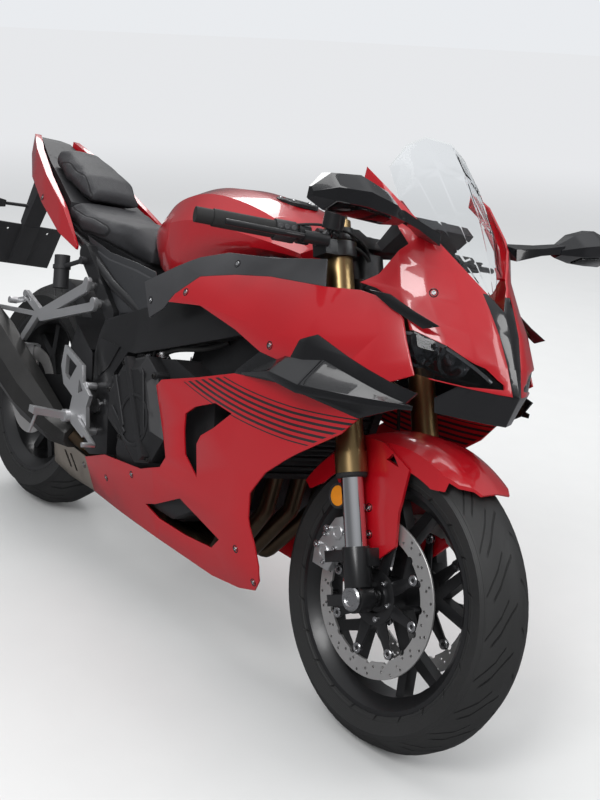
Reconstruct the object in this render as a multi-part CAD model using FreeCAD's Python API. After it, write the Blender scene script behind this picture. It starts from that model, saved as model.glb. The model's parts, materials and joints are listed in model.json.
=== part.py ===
# A full-size four-cylinder sport bike, parked on its side stand.
#
# The bike is laid out upright: X runs forward from the rear axle, Y to the rider's left, Z up.
# Everything is then leaned onto the side stand and moved, so that the origin is on the ground
# below the middle of the whole bike.
# Millimetres throughout. Outlines seen from the side are lists of (x, z).

import FreeCAD
import Part
import math
import os

Vec = FreeCAD.Vector

# Stance
LEAN = 12.0
WHEELBASE = 1425.0
RAKE = 24.0
TRAIL = 98.0

# Wheels and tyres: radius over the tread, width, radius of the tread's crown
RIM_RADIUS = 224.0
FRONT_TYRE_HEIGHT, FRONT_WIDTH, FRONT_CROWN = 76.0, 120.0, 62.0
REAR_TYRE_HEIGHT, REAR_WIDTH, REAR_CROWN = 91.0, 182.0, 95.0
FRONT_RADIUS = RIM_RADIUS + FRONT_TYRE_HEIGHT
REAR_RADIUS = RIM_RADIUS + REAR_TYRE_HEIGHT
RIM_BEAD = RIM_RADIUS - 11.0
RIM_WELL = RIM_RADIUS - 26.0
TYRE_STEPS, RIM_STEPS = 72, 48
RIM_WALL = 7.0
FRONT_RIM_HALF = 50.0
REAR_RIM_HALF = 78.0
TYRE_SEAT_GAP = 0.3
SPOKE_COUNT = 5
AXLE_RADIUS = 12.5
AXLE_GAP = 0.3
REAR_HUB_HALF = 84.0

# Fork, measured up each leg from the front axle
LEG_SPACING = 210.0
FOOT_TOP = 96.0
TUBE_BOTTOM = 236.0
TUBE_TOP = 742.0
TUBE_RADIUS = 27.0
STANCHION_RADIUS = 21.5
LOWER_CLAMP_BOTTOM, LOWER_CLAMP_TOP = 470.0, 500.0
UPPER_CLAMP_BOTTOM, UPPER_CLAMP_TOP = 688.0, 712.0
BAR_CLAMP_BOTTOM, BAR_CLAMP_TOP = 655.0, 685.0
STEM_RADIUS = 16.0
HEAD_WALL = 18.0
HEAD_END_GAP = 6.0
FIT = 0.1
RUNNING_GAP = 0.5

# Brakes and drive
DISC_RADIUS, DISC_INNER, DISC_THICK = 155.0, 122.0, 5.0
DISC_MIDDLE = 64.0
BOBBIN_COUNT, BOBBIN_CIRCLE, BOBBIN_RADIUS = 8, 110.0, 9.0
REAR_DISC_RADIUS, REAR_DISC_INNER = 120.0, 86.0
REAR_DISC_MIDDLE = 92.0
PAD_GAP = 1.5
CHAIN_PITCH = 15.875
CHAIN_LINE = 104.0
CHAIN_WIDTH = 16.0
CHAIN_HEIGHT = 14.0
REAR_CHORDS, FRONT_CHORDS = 14, 6
REAR_TEETH, FRONT_TEETH = 48, 16
SPROCKET_THICK = 6.0

# Frame and swingarm
PIVOT_X, PIVOT_Z = 472.0, 400.0
PIVOT_RADIUS = 32.0
PLATE_INNER, PLATE_OUTER = 130.0, 160.0
ARM_INNER, ARM_OUTER = 118.0, 148.0
SUBFRAME_INNER, SUBFRAME_OUTER = 132.0, 160.0
SPOOL_RADIUS, SPOOL_DEPTH, SPOOL_X, SPOOL_Z = 5.0, 22.0, -34.0, 318.0
SHOCK_LOW, SHOCK_HIGH = Vec(402, 0, 454), Vec(452, 0, 575)
SHOCK_END = 16.2
SHOCK_SIDES = 16

# Bodywork
SKIN = 4.0
SIDE_MAX = 226.0
SEAT_GAP = 0.3

# Side stand: where it turns, and where its foot meets the ground
STAND_PIVOT = (450.0, 172.0, 296.0)
STAND_FOOT = (500.0, 238.0)
STAND_RADIUS = 11.0
STAND_HEAD = 12.0
STAND_PIN = 7.0

ORIGIN = Vec(0, 0, 0)
AXIS_X = Vec(1, 0, 0)
AXIS_Y = Vec(0, 1, 0)
AXIS_Z = Vec(0, 0, 1)

lean_rad = math.radians(LEAN)
rake_rad = math.radians(RAKE)
fork_offset = FRONT_RADIUS * math.sin(rake_rad) - TRAIL * math.cos(rake_rad)
crown_drop = (1 - math.cos(lean_rad)) / math.cos(lean_rad)
front_axle_z = FRONT_RADIUS - (REAR_CROWN - FRONT_CROWN) * crown_drop
rear_axle_z = REAR_RADIUS
leg_y = LEG_SPACING / 2
parked_lift = REAR_CROWN * (1 - math.cos(lean_rad))

# Sizes and outlines of single pieces. Outlines are (x, z) pairs; a table's columns are named beside it.
STAND_BORE_RADIUS = 9.0
STAND_BORE_DEPTH = 30.0
BAR_RADIUS = 11.0
GRIP_RADIUS = 17.0
BAR_START = (273.0, -138.0, 932.0)  # back from the front axle, y, z
BAR_END = (364.0, -392.0, 928.0)
FENDER_OUTER = FRONT_RADIUS + 19.0
FENDER_WALL = 4.0
FLAP_OUTER = 78.0
REFLECTOR_X, REFLECTOR_Z = WHEELBASE - 133.0, front_axle_z + 156.74
SPAR_STATIONS = [  # x, inner y, outer y, low z, high z
    (1168, 14, 42, 775, 868),
    (1100, 44, 72, 750, 856),
    (1040, 98, 130, 728, 846),
    (900, 134, 168, 668, 782),
    (720, 134, 170, 604, 716),
    (585, PLATE_INNER, PLATE_OUTER, 560, 668),
    (440, PLATE_INNER, PLATE_OUTER, 545, 612),
]
PLATE_OUTLINE = [(427, 606), (412, 564), (407, 516), (436, 399), (432, 284), (470, 276), (549, 300),
                 (524, 382),
                 (512, 494), (566, 571), (585, 620)]
LUG_Y = 102.0
SPROCKET_X, SPROCKET_Z = 560.0, 408.0
CASE_GAP = 8.0
COVER_OUTLINE = [(614, 550), (699, 579), (752, 552), (824, 420), (790, 356), (728, 338), (655, 372),
                 (582, 399),
                 (566, 469)]
RADIATOR_LOW, RADIATOR_HIGH = Vec(1070, 0, 425), Vec(1112, 0, 715)
RADIATOR_HALF = 160.0
GUARD_INSET, GUARD_WALL = 2.0, 3.0
MUFFLER_STATIONS = [  # x, centre y, centre z, half width, half height
    (376, -158, 289, 25, 25),
    (330, -184, 307, 34, 40),
    (190, -196, 352, 46, 60),
    (-10, -200, 425, 50, 70),
    (-210, -204, 492, 46, 64),
]
HALF_WIDTHS = [  # z, half width
    (130, 70), (180, 140), (260, 172), (350, 198), (450, 208), (550, 215), (650, 222), (740, SIDE_MAX),
               (800, 212),
    (860, 190), (905, 172), (960, 160),
]
END_SCALE = [  # x, scale
    (200, 0.80), (400, 0.86), (600, 0.95), (800, 1.0), (1100, 1.0), (1250, 0.98), (1400, 0.86),
             (1520, 0.68),
    (1640, 0.42),
]
COVER_PANEL = [(660, 740), (754, 791), (829, 829), (915, 856), (1060, 872), (1200, 898), (1233, 849),
               (1075, 836),
               (969, 818), (861, 792), (789, 732), (760, 700), (705, 668), (690, 690)]
SIDE_PANEL = [(776, 718), (811, 752), (861, 792), (969, 818), (1075, 836), (1233, 849), (1314, 861),
              (1390, 858),
              (1427, 832), (1485, 745), (1446, 722), (1344, 744), (1269, 763), (1232, 744), (1208, 690),
              (1124, 693), (1033, 716), (899, 736)]
LOWER_PANEL = [(778, 532), (798, 550), (930, 590), (1056, 632), (1200, 650), (1400, 640), (1369, 602),
               (1272, 531),
               (1198, 470), (1160, 415), (1166, 365), (1188, 318), (1201, 274), (1200, 243), (1180, 214),
               (1123, 196),
               (1020, 181), (808, 180), (656, 174), (470, 178), (437, 259), (559, 303), (638, 314),
               (746, 329),
               (834, 362), (852, 390), (835, 431), (809, 480)]
VENT = [(905, 504), (939, 529), (1006, 556), (1066, 551), (1013, 505), (973, 477), (962, 455), (972, 411),
        (978, 385), (925, 419), (909, 470)]
BELLY_VENT = [(760, 250), (812, 268), (916, 318), (992, 299), (1065, 280), (1034, 250), (926, 238),
              (820, 236)]
GUARD = [(240, 248), (330, 262), (436, 259), (469, 180), (376, 166), (285, 158), (228, 182)]
WINGLET_STATIONS = [  # x, root y, root z, tip y, tip z, root height, tip height
    (1080, 214, 640, 222, 640, 6, 4),
    (1200, 206, 720, 252, 672, 30, 14),
    (1300, 198, 735, 262, 672, 34, 16),
    (1400, 178, 715, 226, 682, 30, 14),
    (1490, 132, 704, 166, 692, 16, 9),
    (1528, 112, 704, 132, 698, 9, 6),
]
CHEEK_PANEL = [(1060, 640), (1124, 693), (1208, 690), (1232, 744), (1269, 763), (1344, 744), (1446, 722),
               (1498, 716),
               (1474, 682), (1400, 640), (1200, 650), (1056, 632)]
NOSE_LEVELS = [  # z, then x at y = 0, 40, 80, 120, 150, then x and y of the rear end
    (684, 1578, 1556, 1526, 1488, 1452, 1340, 186),
    (742, 1592, 1574, 1547, 1506, 1468, 1340, 192),
    (790, 1567, 1560, 1543, 1508, 1465, 1340, 190),
    (840, 1540, 1533, 1512, 1470, 1425, 1320, 180),
    (880, 1513, 1503, 1478, 1432, 1390, 1290, 172),
    (930, 1470, 1462, 1440, 1405, 1370, 1260, 168),
    (985, 1430, 1425, 1410, 1385, 1350, 1220, 160),
    (1085, 1330, 1325, 1315, 1290, 1255, 1150, 140),
]
NOSE_OUTLINE = [(1610, 742), (1492, 742), (1427, 832), (1390, 858), (1342, 872), (1304, 874), (1336, 897),
                (1352, 927),
                (1372, 962), (1345, 990), (1226, 1050), (1226, 1100), (1610, 1000)]
LAMP_OUTLINE = [(1398, 806), (1444, 818), (1500, 806), (1552, 782), (1580, 752), (1540, 744), (1487, 744),
                (1452, 746), (1420, 774)]
CHIN_OUTLINE = [(1620, 684), (1500, 684), (1500, 712), (1530, 742), (1620, 742)]
STRIP_HALF = [(742, 12), (790, 18), (840, 27), (905, 38)]
SCREEN_STATIONS = [  # x, centre z, half width, edge z
    (1478, 894, 6, 893),
    (1430, 958, 62, 938),
    (1370, 1032, 104, 986),
    (1300, 1112, 122, 1038),
    (1247, 1166, 112, 1092),
]
TANK_STATIONS = [  # x, top z, half width at the bulge, bulge z, bottom z
    (430, 838, 60, 815, 795),
    (490, 915, 100, 850, 772),
    (570, 958, 130, 870, 756),
    (700, 988, 158, 895, 798),
    (860, 984, 164, 900, 848),
    (980, 950, 146, 896, 868),
    (1046, 905, 112, 888, 872),
]
RIDER_SEAT = [  # x, top z, half width, edge z, bottom z
    (456, 806, 84, 780, 750),
    (380, 840, 110, 812, 760.8),
    (280, 836, 138, 812, 778),
    (160, 838, 145, 815, 786),
    (70.3, 862, 131, 840, 806),
]
PILLION_SEAT = [
    (104, 884, 84, 870, 856),
    (40, 926, 98, 900, 872),
    (-60, 958, 94, 930, 898),
    (-158, 986, 72, 962, 932),
]
TAIL_STATIONS = [  # x, half width, top z, bottom z
    (430, 84, 751.7, 724),
    (280, 112, 777.7, 736),
    (160, 126, 785.7, 742),
    (70, 116, 805.7, 752),
    (69, 116, 850, 752),
    (-60, 92, 897.7, 800),
    (-170, 72, 935, 852),
    (-300, 46, 992, 934),
    (-333, 30, 996, 968),
]
WING_STATIONS = [  # x, outer y, low z, high z, thickness
    (214, 156, 742, 752, 6),
    (100, 154, 768, 836, 14),
    (-60, 134, 826, 902, 20),
    (-200, 106, 884, 964, 22),
    (-296, 72, 944, 1002, 20),
]
REARSET_OUTLINE = [(319, 513), (422, 486), (437, 446), (481, 425), (474, 395), (498, 338), (482, 321),
                   (418, 338),
                   (398, 362), (400, 403), (347, 420), (319, 460)]
REARSET_INNER, REARSET_OUTER = 186.0, 196.0
PEG_START = (398.0, 352.0)
PILLION_ARMS = [  # from, to, width
    ((336, 664), (132, 552), 26),
    ((388, 628), (140, 546), 22),
    ((128, 556), (30, 586), 20),
    ((112, 548), (-106, 521), 12),
    ((116, 550), (58, 474), 20),
]
MIRROR_STATIONS = [  # y, centre x, centre z, half depth, half height
    (215, 1418, 1004, 12, 13),
    (258, 1421, 1014, 28, 28),
    (320, 1415, 1023, 32, 36),
    (375, 1403, 1021, 26, 31),
    (404, 1394, 1013, 7, 11),
]
MIRROR_FOOT = (1396.0, 112.0, 984.0)
PLATE_HOLE_RADIUS = 3.5
PLATE_CENTRE = (-402.0, 668.0)
PLATE_TILT = 24.0


# Small helpers

def face_of(points):
    return Part.Face(Part.makePolygon(points + [points[0]]))


def side_prism(outline, y_from, y_to):
    """A side outline of (x, z), carried from one Y to another."""
    low, high = min(y_from, y_to), max(y_from, y_to)
    return face_of([Vec(x, low, z) for x, z in outline]).extrude(Vec(0, high - low, 0))


def mirrored(shape):
    return shape.mirror(ORIGIN, AXIS_Y)


def both(shape):
    return [shape, mirrored(shape)]


def round_rod(start, end, radius):
    """A true cylinder, for bores and cuts."""
    return Part.makeCylinder(radius, (end - start).Length, start, end - start)


def round_cross(x, z, radius, y_from, y_to):
    low, high = min(y_from, y_to), max(y_from, y_to)
    return round_rod(Vec(x, low, z), Vec(x, high, z), radius)


def sides_of(radius):
    """How many flat sides stand in for a round bar, so that it keeps few facets."""
    return 12 if radius < 20 else 16 if radius < 32 else 28


def ring_of(centre, along, radius, sides):
    """Corners of a regular ring round a centre, inside the true circle."""
    aside = along.cross(AXIS_Y if abs(along.y) < 0.7 else AXIS_X).normalize()
    up = aside.cross(along).normalize()
    turns = [2 * math.pi * k / sides for k in range(sides)]
    return [centre + aside * (radius * math.cos(turn)) + up * (radius * math.sin(turn)) for turn in turns]


def rod(start, end, radius):
    """A bar with flat sides between two points."""
    return face_of(ring_of(start, (end - start).normalize(), radius, sides_of(radius))).extrude(end - start)


def cross_rod(x, z, radius, y_from, y_to):
    low, high = min(y_from, y_to), max(y_from, y_to)
    return rod(Vec(x, low, z), Vec(x, high, z), radius)


def skinned(rings, closed=False):
    """A solid of flat faces between rings of points, its ends shut unless it closes on itself."""
    pairs = zip(rings, rings[1:] + rings[:1]) if closed else zip(rings, rings[1:])
    faces = [face_of(list(corners)) for one, other in pairs
             for corners in zip(one, one[1:] + one[:1], other[1:] + other[:1], other)]
    if not closed:
        faces += [face_of(rings[0]), face_of(rings[-1])]
    shell = Part.makeShell(faces)
    shell.sewShape()
    solid = Part.makeSolid(shell)
    if solid.Volume < 0:
        solid.reverse()
    return solid


def box(x, y, z):
    """A box from its ranges along X, Y and Z."""
    return Part.makeBox(x[1] - x[0], y[1] - y[0], z[1] - z[0], Vec(x[0], y[0], z[0]))


def fused(shapes):
    whole = shapes[0].fuse(shapes[1:]) if len(shapes) > 1 else shapes[0]
    return whole.removeSplitter()


def tube(points, radius, bend):
    """A bar with flat sides along straight runs, each bend cut into two chords and mitred."""
    path = [points[0]]
    for before, corner, after in zip(points, points[1:], points[2:]):
        back = (before - corner).normalize()
        ahead = (after - corner).normalize()
        half = back.getAngle(ahead) / 2
        inward = (back + ahead).normalize()
        path.append(corner + back * (bend / math.tan(half)))
        path.append(corner + inward * (bend / math.sin(half) - bend))
        path.append(corner + ahead * (bend / math.tan(half)))
    path.append(points[-1])
    along = (path[1] - path[0]).normalize()
    rings = [ring_of(path[0], along, radius, sides_of(radius))]
    for k in range(1, len(path)):
        along = (path[k] - path[k - 1]).normalize()
        onward = (path[k + 1] - path[k]).normalize() if k + 1 < len(path) else along
        across = (along + onward).normalize()
        rings.append([p + along * ((path[k] - p).dot(across) / along.dot(across)) for p in rings[-1]])
    return skinned(rings)


def loft(sections, ruled=True):
    """A solid through closed sections, each a list of points."""
    wires = [Part.makePolygon(points + [points[0]]) for points in sections]
    return Part.makeLoft(wires, True, ruled)


def box_beam(stations):
    """A beam through upright box sections: x, inner y, outer y, low z, high z."""
    return loft([[Vec(x, inner, low), Vec(x, outer, low), Vec(x, outer, high), Vec(x, inner, high)]
                 for x, inner, outer, low, high in stations])


def strip(start, end, width, y_from, y_to):
    """A flat bar between two (x, z) points, with round ends."""
    a, b = Vec(start[0], 0, start[1]), Vec(end[0], 0, end[1])
    side = (b - a).cross(AXIS_Y).normalize() * (width / 2)
    corners = [a + side, b + side, b - side, a - side]
    bar = side_prism([(p.x, p.z) for p in corners], y_from, y_to)
    ends = [cross_rod(p.x, p.z, width / 2, y_from, y_to) for p in (a, b)]
    return fused([bar] + ends)


def turned(profile, x, z, start=0.0, sweep=360.0):
    """A profile of (radius, y) turned about a cross axis at (x, z), angles up from the front."""
    centre = Vec(x, 0, z)
    face = face_of([Vec(x + radius, y, z) for radius, y in profile])
    solid = face.revolve(centre, Vec(0, -1, 0), sweep)
    if start:
        solid.rotate(centre, Vec(0, -1, 0), start)
    return solid


def stepped_turn(profile, x, z, steps):
    """A profile of (radius, y) carried round a cross axis in equal steps, one of them at the very bottom."""
    rings = []
    for k in range(steps):
        turn = 2 * math.pi * k / steps - math.pi / 2
        rings.append([Vec(x + radius * math.cos(turn), y, z + radius * math.sin(turn)) for radius,
                      y in profile])
    return skinned(rings, closed=True)


def polar(x, z, radius, angle):
    """The (x, z) point at a radius and an angle up from the front."""
    return (x + radius * math.cos(math.radians(angle)), z + radius * math.sin(math.radians(angle)))


def on_fork(shape):
    """Puts a shape from the fork's own frame (origin at the front axle, Z up the legs) on the bike."""
    shape.rotate(ORIGIN, AXIS_Y, -RAKE)
    shape.translate(Vec(WHEELBASE, 0, front_axle_z))
    return shape


# Wheels

def tyre(radius, width, crown, rim_half, x, z):
    centre = radius - crown
    tread = [(centre + crown * math.cos(k * lean_rad), crown * math.sin(k * lean_rad))
             for k in (-5, -3, -1, 1, 3, 5)]
    wall = (RIM_RADIUS + TYRE_SEAT_GAP, rim_half)
    bulge = (RIM_RADIUS + 0.45 * (radius - RIM_RADIUS), width / 2)
    low_side = [(wall[0], -wall[1]), (bulge[0], -bulge[1])]
    high_side = [bulge, wall]
    return stepped_turn(low_side + tread + high_side, x, z, TYRE_STEPS)


def rim(rim_half, hub_half, hub_radius, spoke_half, x, z, twist):
    barrel = stepped_turn([(RIM_RADIUS, -rim_half), (RIM_BEAD, 8 - rim_half), (RIM_WELL, 26 - rim_half),
                     (RIM_WELL, rim_half - 26), (RIM_BEAD, rim_half - 8), (RIM_RADIUS, rim_half),
                     (RIM_RADIUS - 9, rim_half), (RIM_WELL - RIM_WALL, rim_half - 24),
                     (RIM_WELL - RIM_WALL, 24 - rim_half), (RIM_RADIUS - 9, -rim_half)], x, z, RIM_STEPS)
    hub = cross_rod(x, z, hub_radius, -hub_half, hub_half)
    parts = [barrel, hub]
    for k in range(SPOKE_COUNT):
        middle = twist + k * 360.0 / SPOKE_COUNT
        root = polar(x, z, hub_radius - 12, middle)
        split = polar(x, z, 104, middle)
        for lean in (-15.0, 15.0):
            tip = polar(x, z, RIM_WELL - 3, middle + lean)
            parts.append(spoke_bar(root, split, 34, 30, spoke_half))
            parts.append(spoke_bar(split, tip, 24, 20, spoke_half - 3))
    bore = round_cross(x, z, AXLE_RADIUS + AXLE_GAP, -hub_half - 1, hub_half + 1)
    return fused(parts).cut(bore)


def spoke_bar(start, end, width, end_width, half):
    a, b = Vec(start[0], 0, start[1]), Vec(end[0], 0, end[1])
    side = (b - a).cross(AXIS_Y).normalize()
    corners = [a + side * (width / 2), b + side * (end_width / 2), b - side * (end_width / 2),
               a - side * (width / 2)]
    return side_prism([(p.x, p.z) for p in corners], -half, half)


def disc(radius, inner, middle, x, z, bobbins, circle, hub_radius):
    """A floating brake disc: ring, lobes with their buttons, and the carrier inside."""
    half = DISC_THICK / 2
    parts = [stepped_turn([(inner, middle - half), (radius, middle - half), (radius, middle + half),
                           (inner, middle + half)], x, z, RIM_STEPS)]
    parts.append(cross_rod(x, z, hub_radius, middle - half, middle + half))
    for k in range(bobbins):
        angle = 38.6 + k * 360.0 / bobbins
        px, pz = polar(x, z, circle, angle)
        parts.append(cross_rod(px, pz, 15, middle - half, middle + half))
        parts.append(cross_rod(px, pz, BOBBIN_RADIUS, middle - half - 2, middle + half + 2))
        root = polar(x, z, hub_radius - 6, angle)
        parts.append(spoke_bar_at(root, (px, pz), 22, 12, middle, half - 0.5))
    bore = round_cross(x, z, hub_radius - 14, middle - 20, middle + 20)
    return fused(parts).cut(bore)


def spoke_bar_at(start, end, width, end_width, middle, half):
    bar = spoke_bar(start, end, width, end_width, half)
    bar.translate(Vec(0, middle, 0))
    return bar


def front_wheel_nodes():
    at = (WHEELBASE, front_axle_z)
    ring = disc(DISC_RADIUS, DISC_INNER, DISC_MIDDLE, at[0], at[1], BOBBIN_COUNT, BOBBIN_CIRCLE, 44)
    hub_half = DISC_MIDDLE - DISC_THICK / 2
    return {
        "front_rim": [rim(FRONT_RIM_HALF, hub_half, 38, 16, at[0], at[1], 20.0)],
        "front_tyre": [tyre(FRONT_RADIUS, FRONT_WIDTH, FRONT_CROWN, FRONT_RIM_HALF, at[0], at[1])],
        "front_discs": both(ring),
    }


def sprocket(teeth, x, z, bore_radius):
    """A toothed plate in the chain's own plane."""
    pitch_radius = CHAIN_PITCH / (2 * math.sin(math.pi / teeth))
    points = []
    for k in range(teeth):
        angle = k * 360.0 / teeth
        step = 360.0 / teeth
        points.append(polar(x, z, pitch_radius - 7, angle - 0.22 * step))
        points.append(polar(x, z, pitch_radius - 7, angle + 0.22 * step))
        points.append(polar(x, z, pitch_radius - 1.5, angle + 0.5 * step))
    half = SPROCKET_THICK / 2
    plate = side_prism(points, CHAIN_LINE - half, CHAIN_LINE + half)
    return plate.cut(round_cross(x, z, bore_radius, CHAIN_LINE - 10, CHAIN_LINE + 10))


def rear_wheel_nodes():
    at = (0.0, rear_axle_z)
    half = SPROCKET_THICK / 2
    gear = sprocket(REAR_TEETH, at[0], at[1], 40)
    for k in range(6):
        x, z = polar(at[0], at[1], 78, 30 + k * 60)
        gear = gear.cut(round_cross(x, z, 17, CHAIN_LINE - 10, CHAIN_LINE + 10))
    gear = gear.fuse(turned([(20, REAR_HUB_HALF), (52, REAR_HUB_HALF), (52, CHAIN_LINE + half),
                             (20, CHAIN_LINE + half)], at[0], at[1])).removeSplitter()
    brake = disc(REAR_DISC_RADIUS, REAR_DISC_INNER, -REAR_DISC_MIDDLE, at[0], at[1], 6, 74, 52)
    inner = REAR_DISC_MIDDLE - DISC_THICK / 2
    seat = turned([(38, -inner), (52, -inner), (52, -REAR_HUB_HALF), (38, -REAR_HUB_HALF)], at[0], at[1])
    return {
        "rear_rim": [rim(REAR_RIM_HALF, REAR_HUB_HALF, 46, 22, at[0], at[1], 50.0)],
        "rear_tyre": [tyre(REAR_RADIUS, REAR_WIDTH, REAR_CROWN, REAR_RIM_HALF, at[0], at[1])],
        "rear_disc": [fused([brake, seat])],
        "rear_sprocket": [gear],
    }


# Fork and steering

def fork_nodes():
    nodes = {}
    leg = Vec(0, -leg_y, 0)

    tube_profile = [(0, TUBE_BOTTOM), (TUBE_RADIUS + 4, TUBE_BOTTOM), (TUBE_RADIUS + 4, TUBE_BOTTOM + 40),
                    (TUBE_RADIUS + 1, TUBE_BOTTOM + 40), (TUBE_RADIUS + 1, TUBE_BOTTOM + 72),
                    (TUBE_RADIUS, TUBE_BOTTOM + 72), (TUBE_RADIUS, TUBE_TOP - 12),
                    (TUBE_RADIUS - 6, TUBE_TOP - 12), (TUBE_RADIUS - 6, TUBE_TOP), (0, TUBE_TOP)]
    upper = face_of([Vec(radius, -leg_y, s) for radius, s in tube_profile])
    nodes["fork_tubes"] = both(on_fork(upper.revolve(leg, AXIS_Z, 360)))
    stanchion = Part.makeCylinder(STANCHION_RADIUS, TUBE_BOTTOM - FOOT_TOP, leg + Vec(0, 0, FOOT_TOP),
                                  AXIS_Z)
    nodes["fork_stanchions"] = both(on_fork(stanchion))

    foot_inner = leg_y - 17
    parts = [
        Part.makeCylinder(STANCHION_RADIUS + 5, FOOT_TOP - 20, leg + Vec(0, 0, 20), AXIS_Z),
        Part.makeCylinder(28, 34, leg + Vec(0, -17, 0), AXIS_Y),
        box((-80, -20), (-leg_y - 10, -leg_y + 12), (70, 92)),
        box((-80, -20), (-leg_y - 10, -leg_y + 12), (-14, 8)),
        box((14, 34), (-leg_y + 2, -FLAP_OUTER), (58, 92)),
    ]
    foot = fused(parts).cut(Part.makeCylinder(AXLE_RADIUS + FIT, 60, leg + Vec(0, -30, 0), AXIS_Y))
    nodes["fork_feet"] = both(on_fork(foot))

    end = leg_y + 17
    axle = fused([Part.makeCylinder(AXLE_RADIUS, 2 * end + 2, Vec(0, -end - 1, 0), AXIS_Y),
                  Part.makeCylinder(18, 5, Vec(0, -end - 5, 0), AXIS_Y),
                  Part.makeCylinder(18, 5, Vec(0, end, 0), AXIS_Y)])
    sleeves = [Part.makeCylinder(19, foot_inner - DISC_MIDDLE - 2, Vec(0, start, 0), AXIS_Y)
               for start in (-foot_inner, DISC_MIDDLE + 2)]
    nodes["front_axle"] = [on_fork(fused([axle] + sleeves))]

    nodes["triple_clamps"] = [on_fork(clamps())]
    return nodes


def clamps():
    """Both fork yokes on their steering stem, with a stand bore in the foot of the stem."""
    parts = []
    for bottom, top, reach in ((LOWER_CLAMP_BOTTOM, LOWER_CLAMP_TOP, 36),
                               (UPPER_CLAMP_BOTTOM, UPPER_CLAMP_TOP, 34)):
        outline = [(-fork_offset - 26, -30), (-20, -leg_y - 20), (26, -leg_y - 20), (30, -leg_y + 30),
                   (-fork_offset + 34, -26), (-fork_offset + 34, 26), (30, leg_y - 30), (26, leg_y + 20),
                   (-20, leg_y + 20), (-fork_offset - 26, 30)]
        plate = face_of([Vec(x, y, bottom) for x, y in outline]).extrude(Vec(0, 0, top - bottom))
        parts.append(plate)
        for side in (-1, 1):
            parts.append(Part.makeCylinder(reach, top - bottom, Vec(0, side * leg_y, bottom), AXIS_Z))
    stem_low = LOWER_CLAMP_BOTTOM - 8
    stem = Part.makeCylinder(STEM_RADIUS, UPPER_CLAMP_TOP + 8 - stem_low, Vec(-fork_offset, 0, stem_low),
                             AXIS_Z)
    whole = fused(parts + [stem])
    for side in (-1, 1):
        whole = whole.cut(Part.makeCylinder(TUBE_RADIUS + FIT, 400, Vec(0, side * leg_y, 400), AXIS_Z))
    return whole.cut(Part.makeCylinder(STAND_BORE_RADIUS, STAND_BORE_DEPTH, Vec(-fork_offset, 0, stem_low),
                                       AXIS_Z))


def bar_points():
    start = Vec(WHEELBASE - BAR_START[0], BAR_START[1], BAR_START[2])
    end = Vec(WHEELBASE - BAR_END[0], BAR_END[1], BAR_END[2])
    along = (end - start).normalize()
    return start, end, along


def bar_nodes():
    start, end, along = bar_points()
    clamp = Part.makeCylinder(TUBE_RADIUS + 9, BAR_CLAMP_TOP - BAR_CLAMP_BOTTOM,
                              Vec(0, -leg_y, BAR_CLAMP_BOTTOM), AXIS_Z)
    clamp = on_fork(clamp)
    bore = on_fork(Part.makeCylinder(TUBE_RADIUS + FIT, 200, Vec(0, -leg_y, BAR_CLAMP_BOTTOM - 80), AXIS_Z))
    lug = on_fork(box((-12, 26), (-162, -130), (BAR_CLAMP_BOTTOM, BAR_CLAMP_TOP)))
    bar = fused([clamp, lug, rod(start + along * 9, end - along * 8.3, BAR_RADIUS),
                 rod(start + along * 9, start + along * 26, BAR_RADIUS + 7)]).cut(bore)
    grip_from = end - along * 156
    grip_to = end - along * 34
    grip = rod(grip_from, grip_to, GRIP_RADIUS).cut(round_rod(grip_from - along, grip_to + along,
                                                              BAR_RADIUS + FIT))
    weight = rod(end - along * 33.7, end, 15).cut(round_rod(end - along * 40, end - along * 8,
                                                            BAR_RADIUS + FIT))
    switch = rod(grip_from - along * 42, grip_from - along * 0.3, 21)
    switch = switch.cut(round_rod(grip_from - along * 60, grip_from + along, BAR_RADIUS + FIT))
    return {
        "handlebars": both(bar),
        "grips": both(grip) + both(weight),
        "switchgear": both(switch),
        "hand_levers": both(lever()),
    }


def lever():
    """A lever with its perch and master cylinder, on the bar inboard of the switches."""
    _, end, along = bar_points()
    at = end - along * 216
    perch = rod(at - along * 12, at + along * 12, 19).cut(round_rod(at - along * 20, at + along * 20,
                                                                    BAR_RADIUS + FIT))
    ahead = AXIS_Z.cross(along).normalize()
    pivot = at + ahead * 52
    arm = rod(at + ahead * 16, pivot, 9)
    cylinder = rod(pivot - along * 34 + ahead * 2, pivot + along * 16, 12)
    blade = tube([pivot, pivot + along * 60 + ahead * 16, pivot + along * 172 + ahead * 6], 6.0, 60)
    reservoir_at = at + ahead * 34 - along * 44 + Vec(0, 0, 22)
    reservoir = Part.makeCylinder(21, 40, reservoir_at, AXIS_Z)
    foot = rod(reservoir_at + Vec(0, 0, 10), pivot - along * 20, 6)
    return fused([perch, arm, cylinder, blade, reservoir, foot])


def caliper(x, z, radius, centre, half_angle, disc_middle, disc_radius, button_reach, outer_y, inner_y):
    """A fixed brake caliper that straddles a disc over part of its rim."""
    inner_r, outer_r = radius - 24, disc_radius + 14
    outline = [polar(x, z, inner_r, centre - half_angle), polar(x, z, outer_r - 8, centre - half_angle - 1),
               polar(x, z, outer_r, centre - half_angle * 0.6),
               polar(x, z, outer_r, centre + half_angle * 0.6),
               polar(x, z, outer_r - 8, centre + half_angle + 1), polar(x, z, inner_r, centre + half_angle),
               polar(x, z, inner_r - 5, centre)]
    body = side_prism(outline, outer_y, inner_y)
    half = DISC_THICK / 2 + PAD_GAP
    slot = turned([(0, disc_middle - half), (disc_radius + 5, disc_middle - half),
                   (disc_radius + 5, disc_middle + half), (0, disc_middle + half)], x, z)
    half += 6
    relief = turned([(0, disc_middle - half), (button_reach, disc_middle - half),
                     (button_reach, disc_middle + half), (0, disc_middle + half)], x, z)
    return body.cut(slot).cut(relief)


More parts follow.
